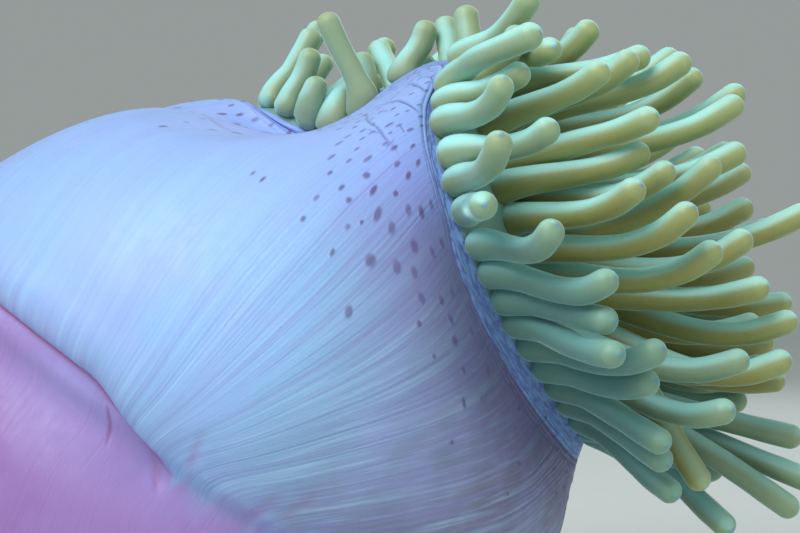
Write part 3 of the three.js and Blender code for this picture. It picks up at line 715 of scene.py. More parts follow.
def line_mask(points, v, t, lines):
    """How deep each place is in the given lines over the skin, 0 to 1."""
    found = np.zeros_like(t)
    for depth, half, knots in lines:
        run, _ = smooth_run(np.array(knots), np.linspace(0, 1, LINE_STEPS))
        line = shell(run[:, 0], run[:, 1])
        low, high = run.min(axis=0) - LINE_REACH, run.max(axis=0) + LINE_REACH
        rows, columns = np.where((v > low[0]) & (v < high[0]) & (t > low[1]) & (t < high[1]))
        away = np.linalg.norm(points[rows, columns][:, None] - line[None], axis=2)
        nearest = away.argmin(axis=1)
        share = nearest / (len(line) - 1)
        ends = smooth(0, LINE_ENDS, share) * smooth(1, 1 - LINE_ENDS, share)
        deep = depth * ends * bell(away.min(axis=1), half)
        found[rows, columns] = np.maximum(found[rows, columns], deep)
    return found


def edge_start(v):
    """Height share where the blue edge starts.  It is narrow below the high corner."""
    narrow = smooth(*EDGE_NARROWING, v % 1.0) * (1 - smooth(*EDGE_WIDENING, v % 1.0))
    return EDGE + EDGE_NARROWER * narrow


def edge_lines(u, v, t):
    """Fine wrinkles that run round the body beside the blue edge, 0 to 1."""
    found = np.zeros_like(t)
    evenest = EDGE_WRINKLES[0][2]
    many, high = EDGE_FADES
    for k, (above, depth, stray) in enumerate(EDGE_WRINKLES):
        faint = EDGE_FADING * (stray - evenest) * (0.5 + 0.5 * noise(u * many, t * high, 45 + k, many))
        away = t - edge_start(v) - above + stray * waves(u, t, EDGE_WAVES, k)
        found = np.maximum(found, depth * (1 - faint) * bell(away, EDGE_WRINKLE_HALF))
    return found


def wart_places(turns, heights, points):
    """Rows, columns and sizes (half length, half width) of the warts on the net of the skin."""
    chosen = []
    centres = []

    def add(r, i, long, wide, room=0):
        centre = points[r, i]
        if all(np.linalg.norm(centre - other) > room for other in centres):
            centres.append(centre)
            chosen.append((r, i, long, wide))

    def nearest(v, t):
        r = np.abs(heights - t).argmin()
        return r, np.abs(wrap(turns[r] - v)).argmin()

    middles = near_places(points, [mark[:2] for mark in NEAR_WARTS])
    for place, (_, _, long, wide) in zip(middles, NEAR_WARTS):
        add(*place, long, wide)
    for n in range(DASHES):
        place = nearest(uneven(DASH_TURNS, n, 17), uneven(DASH_HEIGHTS, n, 18))
        add(*place, uneven(DASH_LENGTHS, n, 19), DASH_HALF, DASH_ROOM)
    for n in range(WARTS):
        v = chance(n, 11)
        t = WART_HEIGHTS[0] + WART_HEIGHTS[1] * chance(n, 12) ** WART_HIGH
        long = uneven(WART_LENGTHS, n, 14) * (1 - WART_SHRINK * smooth(*WART_FADING, t))
        room = WART_ROOM[0] + WART_ROOM[1] * smooth(*WART_THINNING, t)
        near = WARTS_PLACED[0] < v < WARTS_PLACED[1]
        if chance(n, 13) < WARTS_KEPT and not near:
            add(*nearest(v, t), long, long * uneven(WART_WIDTHS, n, 15), room)
    return chosen


def wart_angle(v):
    """How far a wart is turned from the pleats, in radians.  Low on the body it lies along the
    margin, and high up along the pleats."""
    low = abs(wrap(v))
    turned = sum(math.radians(angle) * smooth(start, full, low) for angle, start, full in WART_TURNS)
    return turned * math.copysign(1, wrap(v))


def wart_mask(points, normals, turns, places):
    """Up to 1 in the middle of each wart and 0 outside, on the net of the skin."""
    rows, columns = points.shape[:2]
    mask = np.zeros((rows, columns))
    for r, i, long, wide in places:
        up = unit(points[min(r + 1, rows - 1), i] - points[r - 1, i])
        beside = np.cross(up, normals[r, i])
        angle = wart_angle(turns[r, i])
        along = up * math.cos(angle) - beside * math.sin(angle)
        across = np.cross(along, normals[r, i])
        near_rows = np.arange(max(r - WART_REACH[0], 0), min(r + WART_REACH[0] + 1, rows))
        near_columns = np.arange(i - WART_REACH[1], i + WART_REACH[1] + 1) % columns
        box = np.ix_(near_rows, near_columns)
        away = points[box] - points[r, i]
        far = np.sqrt((away @ along / long) ** 2 + (away @ across / wide) ** 2)
        mask[box] = np.maximum(mask[box], uneven(WART_FULL, i, 16) * (1 - smooth(*WART_SOFT, far)))
    return mask


def net_heights():
    parts = [np.linspace(a, b, n, endpoint=False) for a, b, n in NET_ROWS]
    return np.concatenate([*parts, [1.0]])


def net_normals(points):
    """Outward normals of a net that is closed in its second direction."""
    round_way = np.roll(points, -1, axis=1) - np.roll(points, 1, axis=1)
    up_way = np.gradient(points, axis=0)
    return unit(np.cross(up_way, round_way))


def round_off(points, middle, reach, times):
    """Rounds the net along its rows near row middle."""
    rows = np.arange(len(points))
    share = 0.5 * bell(rows - middle, reach)[1:-1, None, None]
    for _ in range(times):
        points[1:-1] += share * (0.5 * (points[:-2] + points[2:]) - points[1:-1])
    return points


def spread_out(u, t):
    """Places on a plain tube of the same skin, in millimetres.  They run past the margin over the
    disc and keep the pleats straight."""
    turn = 2 * np.pi * u
    return np.stack([LIE_RADIUS * np.cos(turn), LIE_RADIUS * np.sin(turn), LIE_HEIGHT * t], -1)


def column_net(sizes):
    """The skin of the column from foot to margin, with its relief: points and markings."""
    u = np.arange(sizes.meridians) / sizes.meridians
    t = net_heights()[:, None] + 0 * u
    u = u + 0 * t
    v = sweep(u, t)
    points = shell(v, t)
    normals = net_normals(points)
    stride = np.linalg.norm(np.roll(points, -1, axis=1) - points, axis=2)
    pleat_width = stride * sizes.meridians / sizes.pleats

    crease_at = crease_share(v)
    soft = 1 - smooth(*PINK_SOFT, v % 1.0) + smooth(*PINK_FIRM, v % 1.0)
    streaks = grid_noise(u, t, PINK_STREAKS)
    edge = crease_at + soft * (PINK_STREAKY * streaks - PINK_LOWER)
    start, full = (side + more * soft for side, more in zip(PINK_BORDER, PINK_WIDER))
    pink = 1 - smooth(-start, full, t - edge)

    # The pleats are weak high on the left, where the skin is stretched smooth, and end at the foot.
    stretched = smooth(*STRETCHED_TURNS, v % 1.0) * smooth(*STRETCHED_HEIGHTS, t)
    streaky = 1 - PLAIN_STRETCHED * stretched
    shown = smooth(*GROOVE_RISE, t) * streaky * (1 - PLAIN_PINK * pink)
    pleats = pleat_lines(u, t, sizes.pleats) * shown
    depth = sizes.pleat_depth / MM * np.minimum(1, pleat_width / GROOVE_FULL)
    broad = grid_noise(u, t, FOLDS) * np.minimum(1, pleat_width / FOLD_FULL) * shown
    in_notch = bell(wrap(v - NOTCH_TURN), EDGE_HIDDEN_WIDTH)
    rim = smooth(-EDGE_SOFT, EDGE_SOFT, t - edge_start(v)) * (1 - EDGE_HIDDEN * in_notch)

    seen = smooth(*CREASE_START, v % 1.0) * (1 - smooth(*CREASE_END, v % 1.0))
    stride_up = np.linalg.norm(np.gradient(points, axis=0), axis=2) / np.gradient(t, axis=0)
    above = (t - crease_at) * stride_up
    cut = seen * np.exp(-np.abs(above) / np.where(above > 0, *CREASE_WIDTHS))
    rise, middle, half = BULGE
    bulge = rise * seen * bell(above - middle, half)

    warts = wart_mask(points, normals, v, wart_places(v, t[:, 0], points))
    wrinkles = line_mask(points, v, t, [*on_skin(points, v, t, WRINKLES), VALLEY])
    folds = np.maximum(wrinkles, edge_lines(u, v, t)) * (1 - FOLDS_ON_WARTS * warts)
    puckers = line_mask(points, v, t, on_skin(points, v, t, PINK_CREASES))
    height = (-depth * pleats * (1 - rim) + sizes.fold_depth / MM * broad * (1 - FOLD_ON_EDGE * rim)
              - sizes.crease_depth / MM * cut + bulge
              - sizes.wrinkle_depth / MM * (folds + puckers) + sizes.wart_height / MM * warts)
    height *= smooth(0, FOOT_PLAIN, t)
    points = points + normals * height[..., None]

    marks = {
        "height_share": t,
        "lie": spread_out(u, t),
        "pleat": pleats,
        "pink": pink,
        "crease": np.maximum(seen * bell(above, CREASE_LINE), puckers),
        "fold_shade": seen * bell(above - CREASE_SHADE[0], CREASE_SHADE[1]),
        "wrinkle": folds,
        "wart": warts,
        "rim": rim,
        "olive": np.zeros_like(t),
        "streaky": streaky,
        "smooth_skin": stretched,
        # Painted shade: grey skin just over the crease, where the bulge curves under.
        "belly": seen * smooth(-1, 0, above) * np.exp(-np.maximum(above, 0) / BELLY_SHADE),
    }
    return points, marks


def disc_net(columns, roots):
    """The skin of the oral disc and the mouth, from the margin to the middle."""
    outer = np.linspace(1, MOUTH, DISC_ROWS, endpoint=False)[1:]
    inner = np.linspace(MOUTH, MOUTH_HOLE, MOUTH_ROWS)
    rho = np.concatenate([outer, inner])[:, None]
    u = (np.arange(columns) / columns)[None] + 0 * rho
    rho = rho + 0 * u
    points = disc(u, rho)
    lips = rho < MOUTH
    rise = np.where(lips, np.interp(rho, LIPS[:, 0], LIPS[:, 1]), 0)
    ridges = bell(rho - RIDGE_BAND[0], RIDGE_BAND[1]) * RIDGE_HEIGHT * np.cos(2 * np.pi * RIDGES * u)
    points = points + NORMAL * (rise + ridges)[..., None]
    stretch = np.where(lips, np.interp(rho, LIPS[:, 0], LIPS[:, 2]), 1)
    centre_y = points[..., 1].mean(axis=1, keepdims=True)
    slit = np.where(lips, smooth(0, SLIT_TO, rho) * (1 - SLIT) + SLIT, 1)
    across = unit(np.cross(NORMAL, [0, 1, 0]))
    centre = points.mean(axis=1, keepdims=True)
    away = (points - centre) @ across
    points = points + across * (away * (slit - 1))[..., None]
    points[..., 1] = centre_y + (points[..., 1] - centre_y) * stretch
    apart = np.full(rho.shape, np.inf)
    for root in roots:
        apart = np.minimum(apart, np.linalg.norm(points - root, axis=2))
    swell = WELT[0] * np.exp(-np.maximum(apart - RADIUS, 0) / WELT[1]) * (1 - lips)
    points = points + NORMAL * swell[..., None]
    marks = dict.fromkeys(BODY_MARKS, np.zeros_like(rho))
    marks["height_share"] = marks["rim"] = np.ones_like(rho)
    marks["olive"] = smooth(1, DISC_COLOUR, rho)
    marks["lie"] = spread_out(u, 2 - rho)
    return points, marks


# ---- the skin of the tentacles ----------------------------------------------------------------

def smooth_run(knots, shares):
    """Points at the given shares of the length of a smooth curve through the knots."""
    ends = np.vstack([2 * knots[0] - knots[1], knots, 2 * knots[-1] - knots[-2]])
    fine = np.linspace(0, len(knots) - 1, RUN_STEPS)
    i = np.minimum(fine.astype(int), len(knots) - 2)
    f = (fine - i)[:, None]
    a, b, c, d = (ends[i + k] for k in range(4))
    line = 0.5 * (2 * b + (c - a) * f + (2 * a - 5 * b + 4 * c - d) * f**2
                  + (3 * b - a - 3 * c + d) * f**3)
    lengths = np.linalg.norm(np.diff(line, axis=0), axis=1)
    travelled = np.concatenate([[0], np.cumsum(lengths)])
    at = np.asarray(shares) * travelled[-1]
    points = np.stack([np.interp(at, travelled, line[:, k]) for k in range(line.shape[1])], -1)
    return points, travelled[-1]


def finger_profile(total, sizes, row, n):
    """Places along a tentacle and its half thickness there, both in millimetres."""
    half = sizes.thickness / MM / 2
    tip_half = half * (TIP_ROUND + TIP_PLAY * chance(n, 21))
    straight = total - TIP_INSIDE * half
    along = straight * np.linspace(0, 1, sizes.rings) ** RING_EASE
    bend = np.linspace(0, math.pi / 2, sizes.tip_rings + 1)[1:]
    share = along / straight
    flare = FLARE * np.exp(-along / FLARE_FADE)
    if row > 0:
        flare = flare + ROOT_SWELL * np.exp(-along / ROOT_FADE)
    taper = LOW_WIDTH - TAPER * smooth(*TAPER_SPAN, share)
    club = CLUB * smooth(straight - CLUB_SPAN[0], straight - CLUB_SPAN[1], along)
    lumps = LUMPS * noise(share * LUMP_CELLS + LUMP_APART * n, 0 * share, 22, 4096)
    width = half * (taper + flare + club + lumps)
    end = width[-1]
    round_along = straight + tip_half * TIP_ROUND * np.sin(bend)
    round_width = end * np.cos(bend)
    round_width[-1] = TIP_HOLE * end
    return np.concatenate([along, round_along]), np.concatenate([width, round_width])


def finger_net(one, path, sizes, n):
    """The skin of one tentacle from its root to its tip: points and places along it.  The roots of
    the margin row are broad knuckles that touch and hang over the margin a little."""
    total = np.linalg.norm(np.diff(path, axis=0), axis=1).sum() + TIP_PAST * RADIUS
    along, width = finger_profile(total, sizes, one["row"], n)
    tip_way = unit(path[-1] - path[-2])
    knots = np.vstack([path, path[-1] + tip_way * TIP_PAST * RADIUS])
    centres, _ = smooth_run(knots, np.minimum(along / along[-1], 1))
    knuckle = (1 - smooth(*KNUCKLE_FADE, along)) * (one["row"] == 0)
    centres = centres + knuckle[:, None] * KNUCKLE_SHIFT * outward(one["v"])
    beside = [margin(np.array(one["v"] + step)) for step in (RIM_STEP, -RIM_STEP)]
    rim_way = unit(beside[0] - beside[1])
    broader = np.maximum(one["room"] / width - 1, 0) * knuckle
    if one["row"] == 0:
        width = width * np.sqrt(1 + KNUCKLE_LEAST - np.clip(1 - along / KNUCKLE_ROUND, 0, 1) ** 2)
    ways = unit(np.gradient(centres, axis=0))
    across = np.cross(ways[0], SEAM_WAY)
    rings = []
    angles = 2 * np.pi * np.arange(sizes.sides) / sizes.sides
    for centre, way, half, more in zip(centres, ways, width, broader):
        across = unit(across - way * (across @ way))
        third = np.cross(way, across)
        offsets = half * (np.outer(np.cos(angles), across) + np.outer(np.sin(angles), third))
        offsets += more * np.outer(offsets @ rim_way, rim_way)
        rings.append(centre + offsets)
    return np.array(rings), along


def add_room(found):
    """Half the distance from each root of the margin row to the next ones, up to ROOM_MOST."""
    row = sorted((one for one in found if one["row"] == 0), key=lambda one: one["v"] % 1.0)
    for k, one in enumerate(row):
        beside = [row[k - 1]["root"], row[(k + 1) % len(row)]["root"]]
        gaps = [np.linalg.norm(one["root"] - other) / 2 for other in beside]
        one["room"] = min(ROOM_OVERLAP * sum(gaps) / 2, ROOM_MOST)


# ---- the net as a mesh ------------------------------------------------------------------------

class Net:
    """Collects rows of points, their markings and their patch of the map into one mesh."""

    def __init__(self):
        self.points = []
        self.marks = {name: [] for name in (*BODY_MARKS, *FINGER_MARKS, "lie", "finger")}
        self.corners = []
        self.totals = []
        self.maps = []
        self.kinds = []
        self.count = 0

    def add(self, points, marks, finger, patch, kind):
        """Adds a net that is closed round its rows and capped at both ends.  The patch is its part
        of the map, and kind is the place of its material on the skin."""
        rows, columns = points.shape[:2]
        base = self.count
        grid = base + np.arange(rows * columns).reshape(rows, columns)
        side = np.roll(grid, -1, axis=1)
        quads = np.stack([grid[:-1], side[:-1], side[1:], grid[1:]], -1).reshape(-1, 4)
        x0, y0, x1, y1 = patch
        x = x0 + (x1 - x0) * np.arange(columns + 1) / columns
        y = y0 + (y1 - y0) * np.arange(rows) / (rows - 1)
        low, high = np.meshgrid(y[:-1], x[:-1], indexing="ij"), np.meshgrid(y[1:], x[1:], indexing="ij")
        map_quads = np.stack([low[1], low[0], high[1], low[0], high[1], high[0], low[1], high[0]], -1)
        map_quads = map_quads.reshape(-1, 4, 2)
        caps = []
        map_caps = []
        for row, start in ((0, True), (rows - 1, False)):
            ends = np.stack([side[row], grid[row]] if start else [grid[row], side[row]], -1)
            hub = base + rows * columns + (0 if start else 1)
            caps.append(np.column_stack([ends, np.full(columns, hub)]))
            pair = [x[1:], x[:-1]] if start else [x[:-1], x[1:]]
            level = np.full(columns, y[row])
            middle = (x[1:] + x[:-1]) / 2
            map_caps.append(np.stack([pair[0], level, pair[1], level, middle, level], -1).reshape(-1, 3, 2))
        for faces, places in ((quads, map_quads), *zip(caps, map_caps)):
            self.corners.append(faces.reshape(-1))
            self.totals.append(np.full(len(faces), faces.shape[1]))
            self.maps.append(places.reshape(-1, 2))
        self.kinds.append(np.full(len(quads) + 2 * columns, kind))
        hubs = [points[0].mean(axis=0), points[-1].mean(axis=0)]
        self.points.append(np.vstack([points.reshape(-1, 3), hubs]))
        for name, found in self.marks.items():
            values = finger if name == "finger" else marks[name]
            flat = values.reshape(rows * columns, -1)
            ends = [edge.reshape(columns, -1).mean(axis=0) for edge in (values[0], values[-1])]
            found.append(np.vstack([flat, ends]))
        self.count += rows * columns + 2

    def build(self, name):
        mesh = bpy.data.meshes.new(name)
        points = np.vstack(self.points) * MM
        corners = np.concatenate(self.corners)
        totals = np.concatenate(self.totals)
        mesh.vertices.add(len(points))
        mesh.vertices.foreach_set("co", points.astype(np.float32).ravel())
        mesh.loops.add(len(corners))
        mesh.loops.foreach_set("vertex_index", corners.astype(np.int32))
        mesh.polygons.add(len(totals))
        starts = np.concatenate([[0], np.cumsum(totals)[:-1]])
        mesh.polygons.foreach_set("loop_start", starts.astype(np.int32))
        mesh.polygons.foreach_set("material_index", np.concatenate(self.kinds).astype(np.int32))
        mesh.update(calc_edges=True)
        mesh.polygons.foreach_set("use_smooth", np.ones(len(totals), dtype=bool))
        places = mesh.uv_layers.new(name="OFBake")
        places.uv.foreach_set("vector", np.vstack(self.maps).astype(np.float32).ravel())
        for mark, found in self.marks.items():
            values = np.vstack(found).astype(np.float32)
            wide = values.shape[1] == 3
            layer = mesh.attributes.new(mark, "FLOAT_VECTOR" if wide else "FLOAT", "POINT")
            layer.data.foreach_set("vector" if wide else "value", values.ravel())
        mesh.validate()
        piece = bpy.data.objects.new(name, mesh)
        bpy.context.collection.objects.link(piece)
        return piece


def add_body(net, body, roots):
    """Foot, column, disc and mouth as one net."""
    column, marks = column_net(body)
    top, top_marks = disc_net(body.meridians, roots)
    foot_shares = np.linspace(*FOOT_ROWS)[:, None, None]
    foot_middle = column[0].mean(axis=0)
    foot = foot_middle + (column[0] - foot_middle) * foot_shares
    foot[..., 2] = 0
    points = np.concatenate([foot, column, top])
    points = round_off(points, len(foot) + len(column) - 1, *ROUNDING)
    all_marks = {}
    for name, values in marks.items():
        under = np.repeat(values[:1], len(foot), axis=0)
        all_marks[name] = np.concatenate([under, values, top_marks[name]])
    all_marks["outer"] = all_marks["upper"] = np.zeros(points.shape[:2])
    finger = np.zeros((*points.shape[:2], 3))
    net.add(points, all_marks, finger, (0, 0, 1, BODY_MAP), COLUMN)


def add_fingers(net, found, paths, fingers):
    """Every tentacle, each with its own patch of the map."""
    tall = math.ceil(len(paths) / MAP_COLUMNS)
    add_room(found)
    for n, (one, path) in enumerate(zip(found, paths)):
        rings, along = finger_net(one, path, fingers, n)
        rows, columns = rings.shape[:2]
        share = (along / along[-1])[:, None] + np.zeros(columns)
        finger = np.stack([share, along[:, None] + 0 * share, 0 * share + chance(n, 23)], -1)
        marks = dict.fromkeys(BODY_MARKS, np.zeros((rows, columns)))
        marks["outer"] = np.full((rows, columns), max(1 - one["row"] / 2, 0))
        # Painted light: the side that faces up towards the light is painted pale blue-green.
        facing = unit(rings - rings.mean(axis=1, keepdims=True)) @ UPPER_WAY
        marks["upper"] = smooth(UPPER_FROM, 1, facing)
        marks["lie"] = np.zeros((rows, columns, 3))
        wide, high = 1 / MAP_COLUMNS, (1 - FINGER_MAP) / tall
        x = n % MAP_COLUMNS * wide
        y = FINGER_MAP + n // MAP_COLUMNS * high
        patch = (x + MAP_GAP[0], y + MAP_GAP[1], x + wide - MAP_GAP[0], y + high - MAP_GAP[1])
        net.add(rings, marks, finger, patch, TENTACLE)


# ---- materials --------------------------------------------------------------------------------

def node(tree, kind, settings=None, links=None):
    """Adds one shader node with its settings and the sockets or values that feed it."""
    made = tree.nodes.new(kind)
    for key, value in (settings or {}).items():
        setattr(made, key, value)
    for key, value in (links or {}).items():
        if isinstance(value, bpy.types.NodeSocket):
            tree.links.new(value, made.inputs[key])
        else:
            made.inputs[key].default_value = value
    return made


def new_material(name):
    material = bpy.data.materials.new(name)
    material.use_nodes = True
    tree = material.node_tree
    tree.nodes.clear()
    return material, tree


def millimetres(tree):
    """Places on the object in millimetres."""
    place = node(tree, "ShaderNodeTexCoord").outputs["Object"]
    return node(tree, "ShaderNodeVectorMath", {"operation": "SCALE"}, {0: place, 3: 1 / MM}).outputs[0]


def patterns(tree, place, table):
    """Soft unevenness by name, from 0 to 1.  The place is in millimetres, and so is the cell along
    each of its three ways.  After it come the detail and where the cloud starts and is full."""
    found = {}
    for name, (cell, detail, start, full) in table.items():
        fitted = node(tree, "ShaderNodeMapping", links={
            "Vector": place, "Scale": tuple(1 / size for size in cell)}).outputs[0]
        cloud = node(tree, "ShaderNodeTexNoise", links={
            "Vector": fitted, "Scale": 1.0, "Detail": detail, "Roughness": 0.55}).outputs[0]
        found[name] = node(tree, "ShaderNodeMapRange", {"interpolation_type": "SMOOTHSTEP"}, {
            "Value": cloud, "From Min": start, "From Max": full}).outputs[0]
    return found


def layered(tree, colour, layers):
    """Lays colours over the first one: where each shows, how strongly, and the colour."""
    for where, strength, over in layers:
        share = node(tree, "ShaderNodeMath", {"operation": "MULTIPLY"}, {0: where, 1: strength})
        colour = node(tree, "ShaderNodeMix", {"data_type": "RGBA"}, {
            0: share.outputs[0], 6: colour, 7: over}).outputs[2]
    return colour


def column_flesh(colours):
    """Wet anemone column skin: thin, taut, slightly see-through flesh over muscle bands.
    It looks satin with a soft glow under the surface and a weak gloss of slime."""
    material, tree = new_material("wet_column_flesh")
    place = millimetres(tree)
    marks = {name: node(tree, "ShaderNodeAttribute", {"attribute_name": name}).outputs["Fac"]
             for name in BODY_MARKS}
    lie = node(tree, "ShaderNodeAttribute", {"attribute_name": "lie"}).outputs["Vector"]
    # Muscle bands are 5 mm wide, the threads between them about 2 mm, and both run up the pleats.
    # The mottles of the blue edge are 5 mm long and run along it.
    runs = patterns(tree, lie, {
        "band": ((5.0, 5.0, 90.0), 2.0, 0.48, 0.68),
        "pale_band": ((5.0, 5.0, 90.0), 2.0, 0.47, 0.30),
        "thread": ((1.5, 1.5, 45.0), 3.0, 0.48, 0.72),
        "pale_thread": ((2.2, 2.2, 30.0), 3.0, 0.50, 0.72),
        "edge_patch": ((5.0, 5.0, 1.5), 3.0, 0.42, 0.60),
    })
    # The lilac clouds are 36 mm wide and the mottles 6 mm.  The cells of the skin are far under
    # 0.1 mm, so the grain is drawn 1 mm wide to show at all.
    spots = patterns(tree, place, {
        "cloud": ((36.0, 36.0, 36.0), 3.0, 0.42, 0.68),
        "mottle": ((6.0, 6.0, 6.0), 4.0, 0.35, 0.65),
        "grain": ((1.0, 1.0, 1.0), 3.0, 0.2, 0.8),
    })
    high = node(tree, "ShaderNodeSeparateXYZ", links={0: place}).outputs
    raised = node(tree, "ShaderNodeMath", {"operation": "MULTIPLY_ADD"}, {
        0: high["X"], 1: -0.8, 2: high["Z"]}).outputs[0]
    rises = {}
    for name, followed, start, full in (
            ("painted_light_side", raised, -10.0, 140.0),
            ("painted_top_shading", high["Z"], 150.0, 205.0),
            ("near_margin", marks["height_share"], 0.62, 0.93),
            ("low_foot", marks["height_share"], 0.47, 0.32)):
        rises[name] = node(tree, "ShaderNodeMapRange", {"interpolation_type": "SMOOTHSTEP"}, {
            "Value": followed, "From Min": start, "From Max": full}).outputs[0]
    # Skin that is stretched smooth shows little of the bands and of the violet and painted shade near the
    # margin.
    muted = {}
    for name, share in (*runs.items(), ("near_margin", rises["near_margin"])):
        muted[name] = node(tree, "ShaderNodeMath", {"operation": "MULTIPLY"}, {
            0: share, 1: marks["streaky"]}).outputs[0]
    # The base colour is painted light and shade: pale sky blue where the skin lies high and to the left,
    # facing the light, and grey lavender as painted shade below.
    base = layered(tree, colours.column_painted_shade, [
        (rises["painted_light_side"], 1.0, colours.column_painted_light),
        # The highest skin gets a deeper blue as painted shade.
        (rises["painted_top_shading"], 0.4, colours.column_top_shade),
    ])
    # Painted light: high up, the violet skin below the margin is painted blue lilac, where the light falls.
    violet_skin_and_shading = layered(tree, colours.rim_violet_and_shade, [(rises["painted_top_shading"], 1.0, colours.rim_painted_light)])
    pink_skin = layered(tree, colours.foot_lilac, [
        (rises["low_foot"], 0.6, colours.foot_pink),
        (spots["cloud"], 0.35, colours.foot_pink),
        (muted["thread"], 0.12, colours.crease_red),
    ])
    blue_edge = layered(tree, colours.rim_blue, [(runs["edge_patch"], 0.8, colours.edge_violet)])
    colour = layered(tree, base, [
        (spots["cloud"], 0.35, colours.column_lilac),
        (marks["smooth_skin"], 0.3, colours.column_lilac),
        # Painted shade over the crease.
        (marks["belly"], 0.40, colours.belly_shade_grey),
        (muted["band"], 0.35, colours.band_dark),
        (muted["pale_band"], 0.30, colours.band_light),
        (muted["thread"], 0.30, colours.band_dark),
        (muted["pale_thread"], 0.25, colours.band_light),
        # Near the margin the skin is partly violet of its own and partly painted shade: its dark violet
        # stands for the shade under the overhanging margin.
        (muted["near_margin"], 0.75, violet_skin_and_shading),
        (muted["pale_thread"], 0.15, colours.rim_blue),
        # Painted shade: the bottoms of the pleats are painted darker blue.
        (marks["pleat"], 0.40, colours.groove_shade),
        (marks["pink"], 1.0, pink_skin),
        (marks["fold_shade"], 0.25, colours.foot_lilac),
        (marks["crease"], 0.70, colours.crease_red),
        (marks["rim"], 1.0, blue_edge),
        # Painted shade: the bottoms of the wrinkles, the valley behind the high corner and the fine
        # wrinkles by the blue edge are painted dark blue.
        (marks["wrinkle"], 0.80, colours.wrinkle),
        (marks["wart"], 0.85, colours.wart),
        (marks["olive"], 1.0, colours.tentacle_teal),
    ])
    fine = None
    for strength, rise, height in ((0.20, 0.0005, muted["thread"]), (0.12, 0.0003, spots["grain"])):
        links = {"Strength": strength, "Distance": rise, "Height": height}
        fine = node(tree, "ShaderNodeBump", links=links | ({"Normal": fine} if fine else {})).outputs[0]
    rough = node(tree, "ShaderNodeMapRange", links={
        "Value": spots["mottle"], "To Min": 0.42, "To Max": 0.58}).outputs[0]
    shader = node(tree, "ShaderNodeBsdfPrincipled", {"subsurface_method": "RANDOM_WALK"}, {
        "Base Color": colour, "Roughness": rough, "IOR": 1.38, "Normal": fine,
        "Subsurface Weight": 0.25, "Subsurface Radius": (1.0, 0.6, 0.7), "Subsurface Scale": 0.003,
        "Sheen Weight": 0.2, "Sheen Roughness": 0.5, "Sheen Tint": colours.column_painted_light,
        "Coat Weight": 0.12, "Coat Roughness": 0.3, "Coat IOR": 1.34})
    node(tree, "ShaderNodeOutputMaterial", links={"Surface": shader.outputs[0]})
    return material


def tentacle_flesh(colours):
    """Wet tentacle skin: a clear outer layer over an olive core that is full of tiny algae.
    The thin edges look pale blue-green, the core olive, and the tip paler with a small pore."""
    material, tree = new_material("wet_tentacle_flesh")
    marks = {name: node(tree, "ShaderNodeAttribute", {"attribute_name": name}).outputs["Fac"]
             for name in FINGER_MARKS}
    own_place = node(tree, "ShaderNodeAttribute", {"attribute_name": "finger"}).outputs["Vector"]
    finger = node(tree, "ShaderNodeSeparateXYZ", links={0: own_place}).outputs
    place = millimetres(tree)
    height = node(tree, "ShaderNodeSeparateXYZ", links={0: place}).outputs["Z"]
    # The algae are a hundredth of a millimetre, so their clusters are drawn 2 mm wide to show.
    spots = patterns(tree, place, {
        "algae": ((2.0, 2.0, 2.0), 3.0, 0.40, 0.75),
        "patch": ((16.0, 16.0, 16.0), 3.0, 0.40, 0.70),
    })
    # Faint wrinkles lie every 3 mm along a tentacle, and are different on each one.
    wrinkles = patterns(tree, own_place, {
        "wrinkle": ((1000.0, 3.0, 0.05), 0.0, 0.30, 0.70),
    })
    stages = {}
    for name, followed, start, full in (
            ("root", finger["X"], 0.30, 0.02),
            ("low_shade", height, 185.0, 140.0),
            ("lit_high_up", height, 165.0, 225.0),
            ("tip", finger["X"], 0.80, 0.97),
            ("pore", finger["X"], 0.9955, 0.9995)):
        stages[name] = node(tree, "ShaderNodeMapRange", {"interpolation_type": "SMOOTHSTEP"}, {
            "Value": followed, "From Min": start, "From Max": full}).outputs[0]
    # Painted shade: the lowest tentacles of the margin row, under the others, are painted dark teal.
    low_margin_shade = node(tree, "ShaderNodeMath", {"operation": "MULTIPLY"}, {
        0: stages["low_shade"], 1: marks["outer"]}).outputs[0]
    colour = layered(tree, colours.tentacle_olive, [
        (marks["outer"], 0.9, colours.tentacle_teal),
        # Painted shade: near the roots, deep in the crown, the tentacles are painted brown olive.
        (stages["root"], 0.4, colours.tentacle_algae_and_root_shade),
        (spots["patch"], 0.25, colours.tentacle_tan),
        (finger["Z"], 0.20, colours.tentacle_tan),
        (spots["algae"], 0.15, colours.tentacle_algae_and_root_shade),
        # Painted light: the higher tentacles, lit more from above, are painted paler towards the tip
        # colour.
        (stages["lit_high_up"], 0.40, colours.tentacle_tip_and_lit_top),
        # Painted light on the side that faces up.
        (marks["upper"], 0.85, colours.tentacle_lit_side),
        (low_margin_shade, 0.75, colours.tentacle_low_shade),
        (stages["tip"], 0.25, colours.tentacle_tip_and_lit_top),
        (stages["pore"], 0.50, colours.pore_blue),
    ])
    fine = node(tree, "ShaderNodeBump", links={
        "Strength": 0.05, "Distance": 0.0003, "Height": wrinkles["wrinkle"]}).outputs[0]
    shader = node(tree, "ShaderNodeBsdfPrincipled", {"subsurface_method": "RANDOM_WALK"}, {
        "Base Color": colour, "Roughness": 0.45, "IOR": 1.38, "Normal": fine,
        "Subsurface Weight": 0.6, "Subsurface Radius": (1.0, 1.0, 0.7), "Subsurface Scale": 0.006,
        "Sheen Weight": 1.0, "Sheen Roughness": 0.3, "Sheen Tint": colours.tentacle_edge,
        "Coat Weight": 0.12, "Coat Roughness": 0.25, "Coat IOR": 1.34})
    node(tree, "ShaderNodeOutputMaterial", links={"Surface": shader.outputs[0]})
    return material


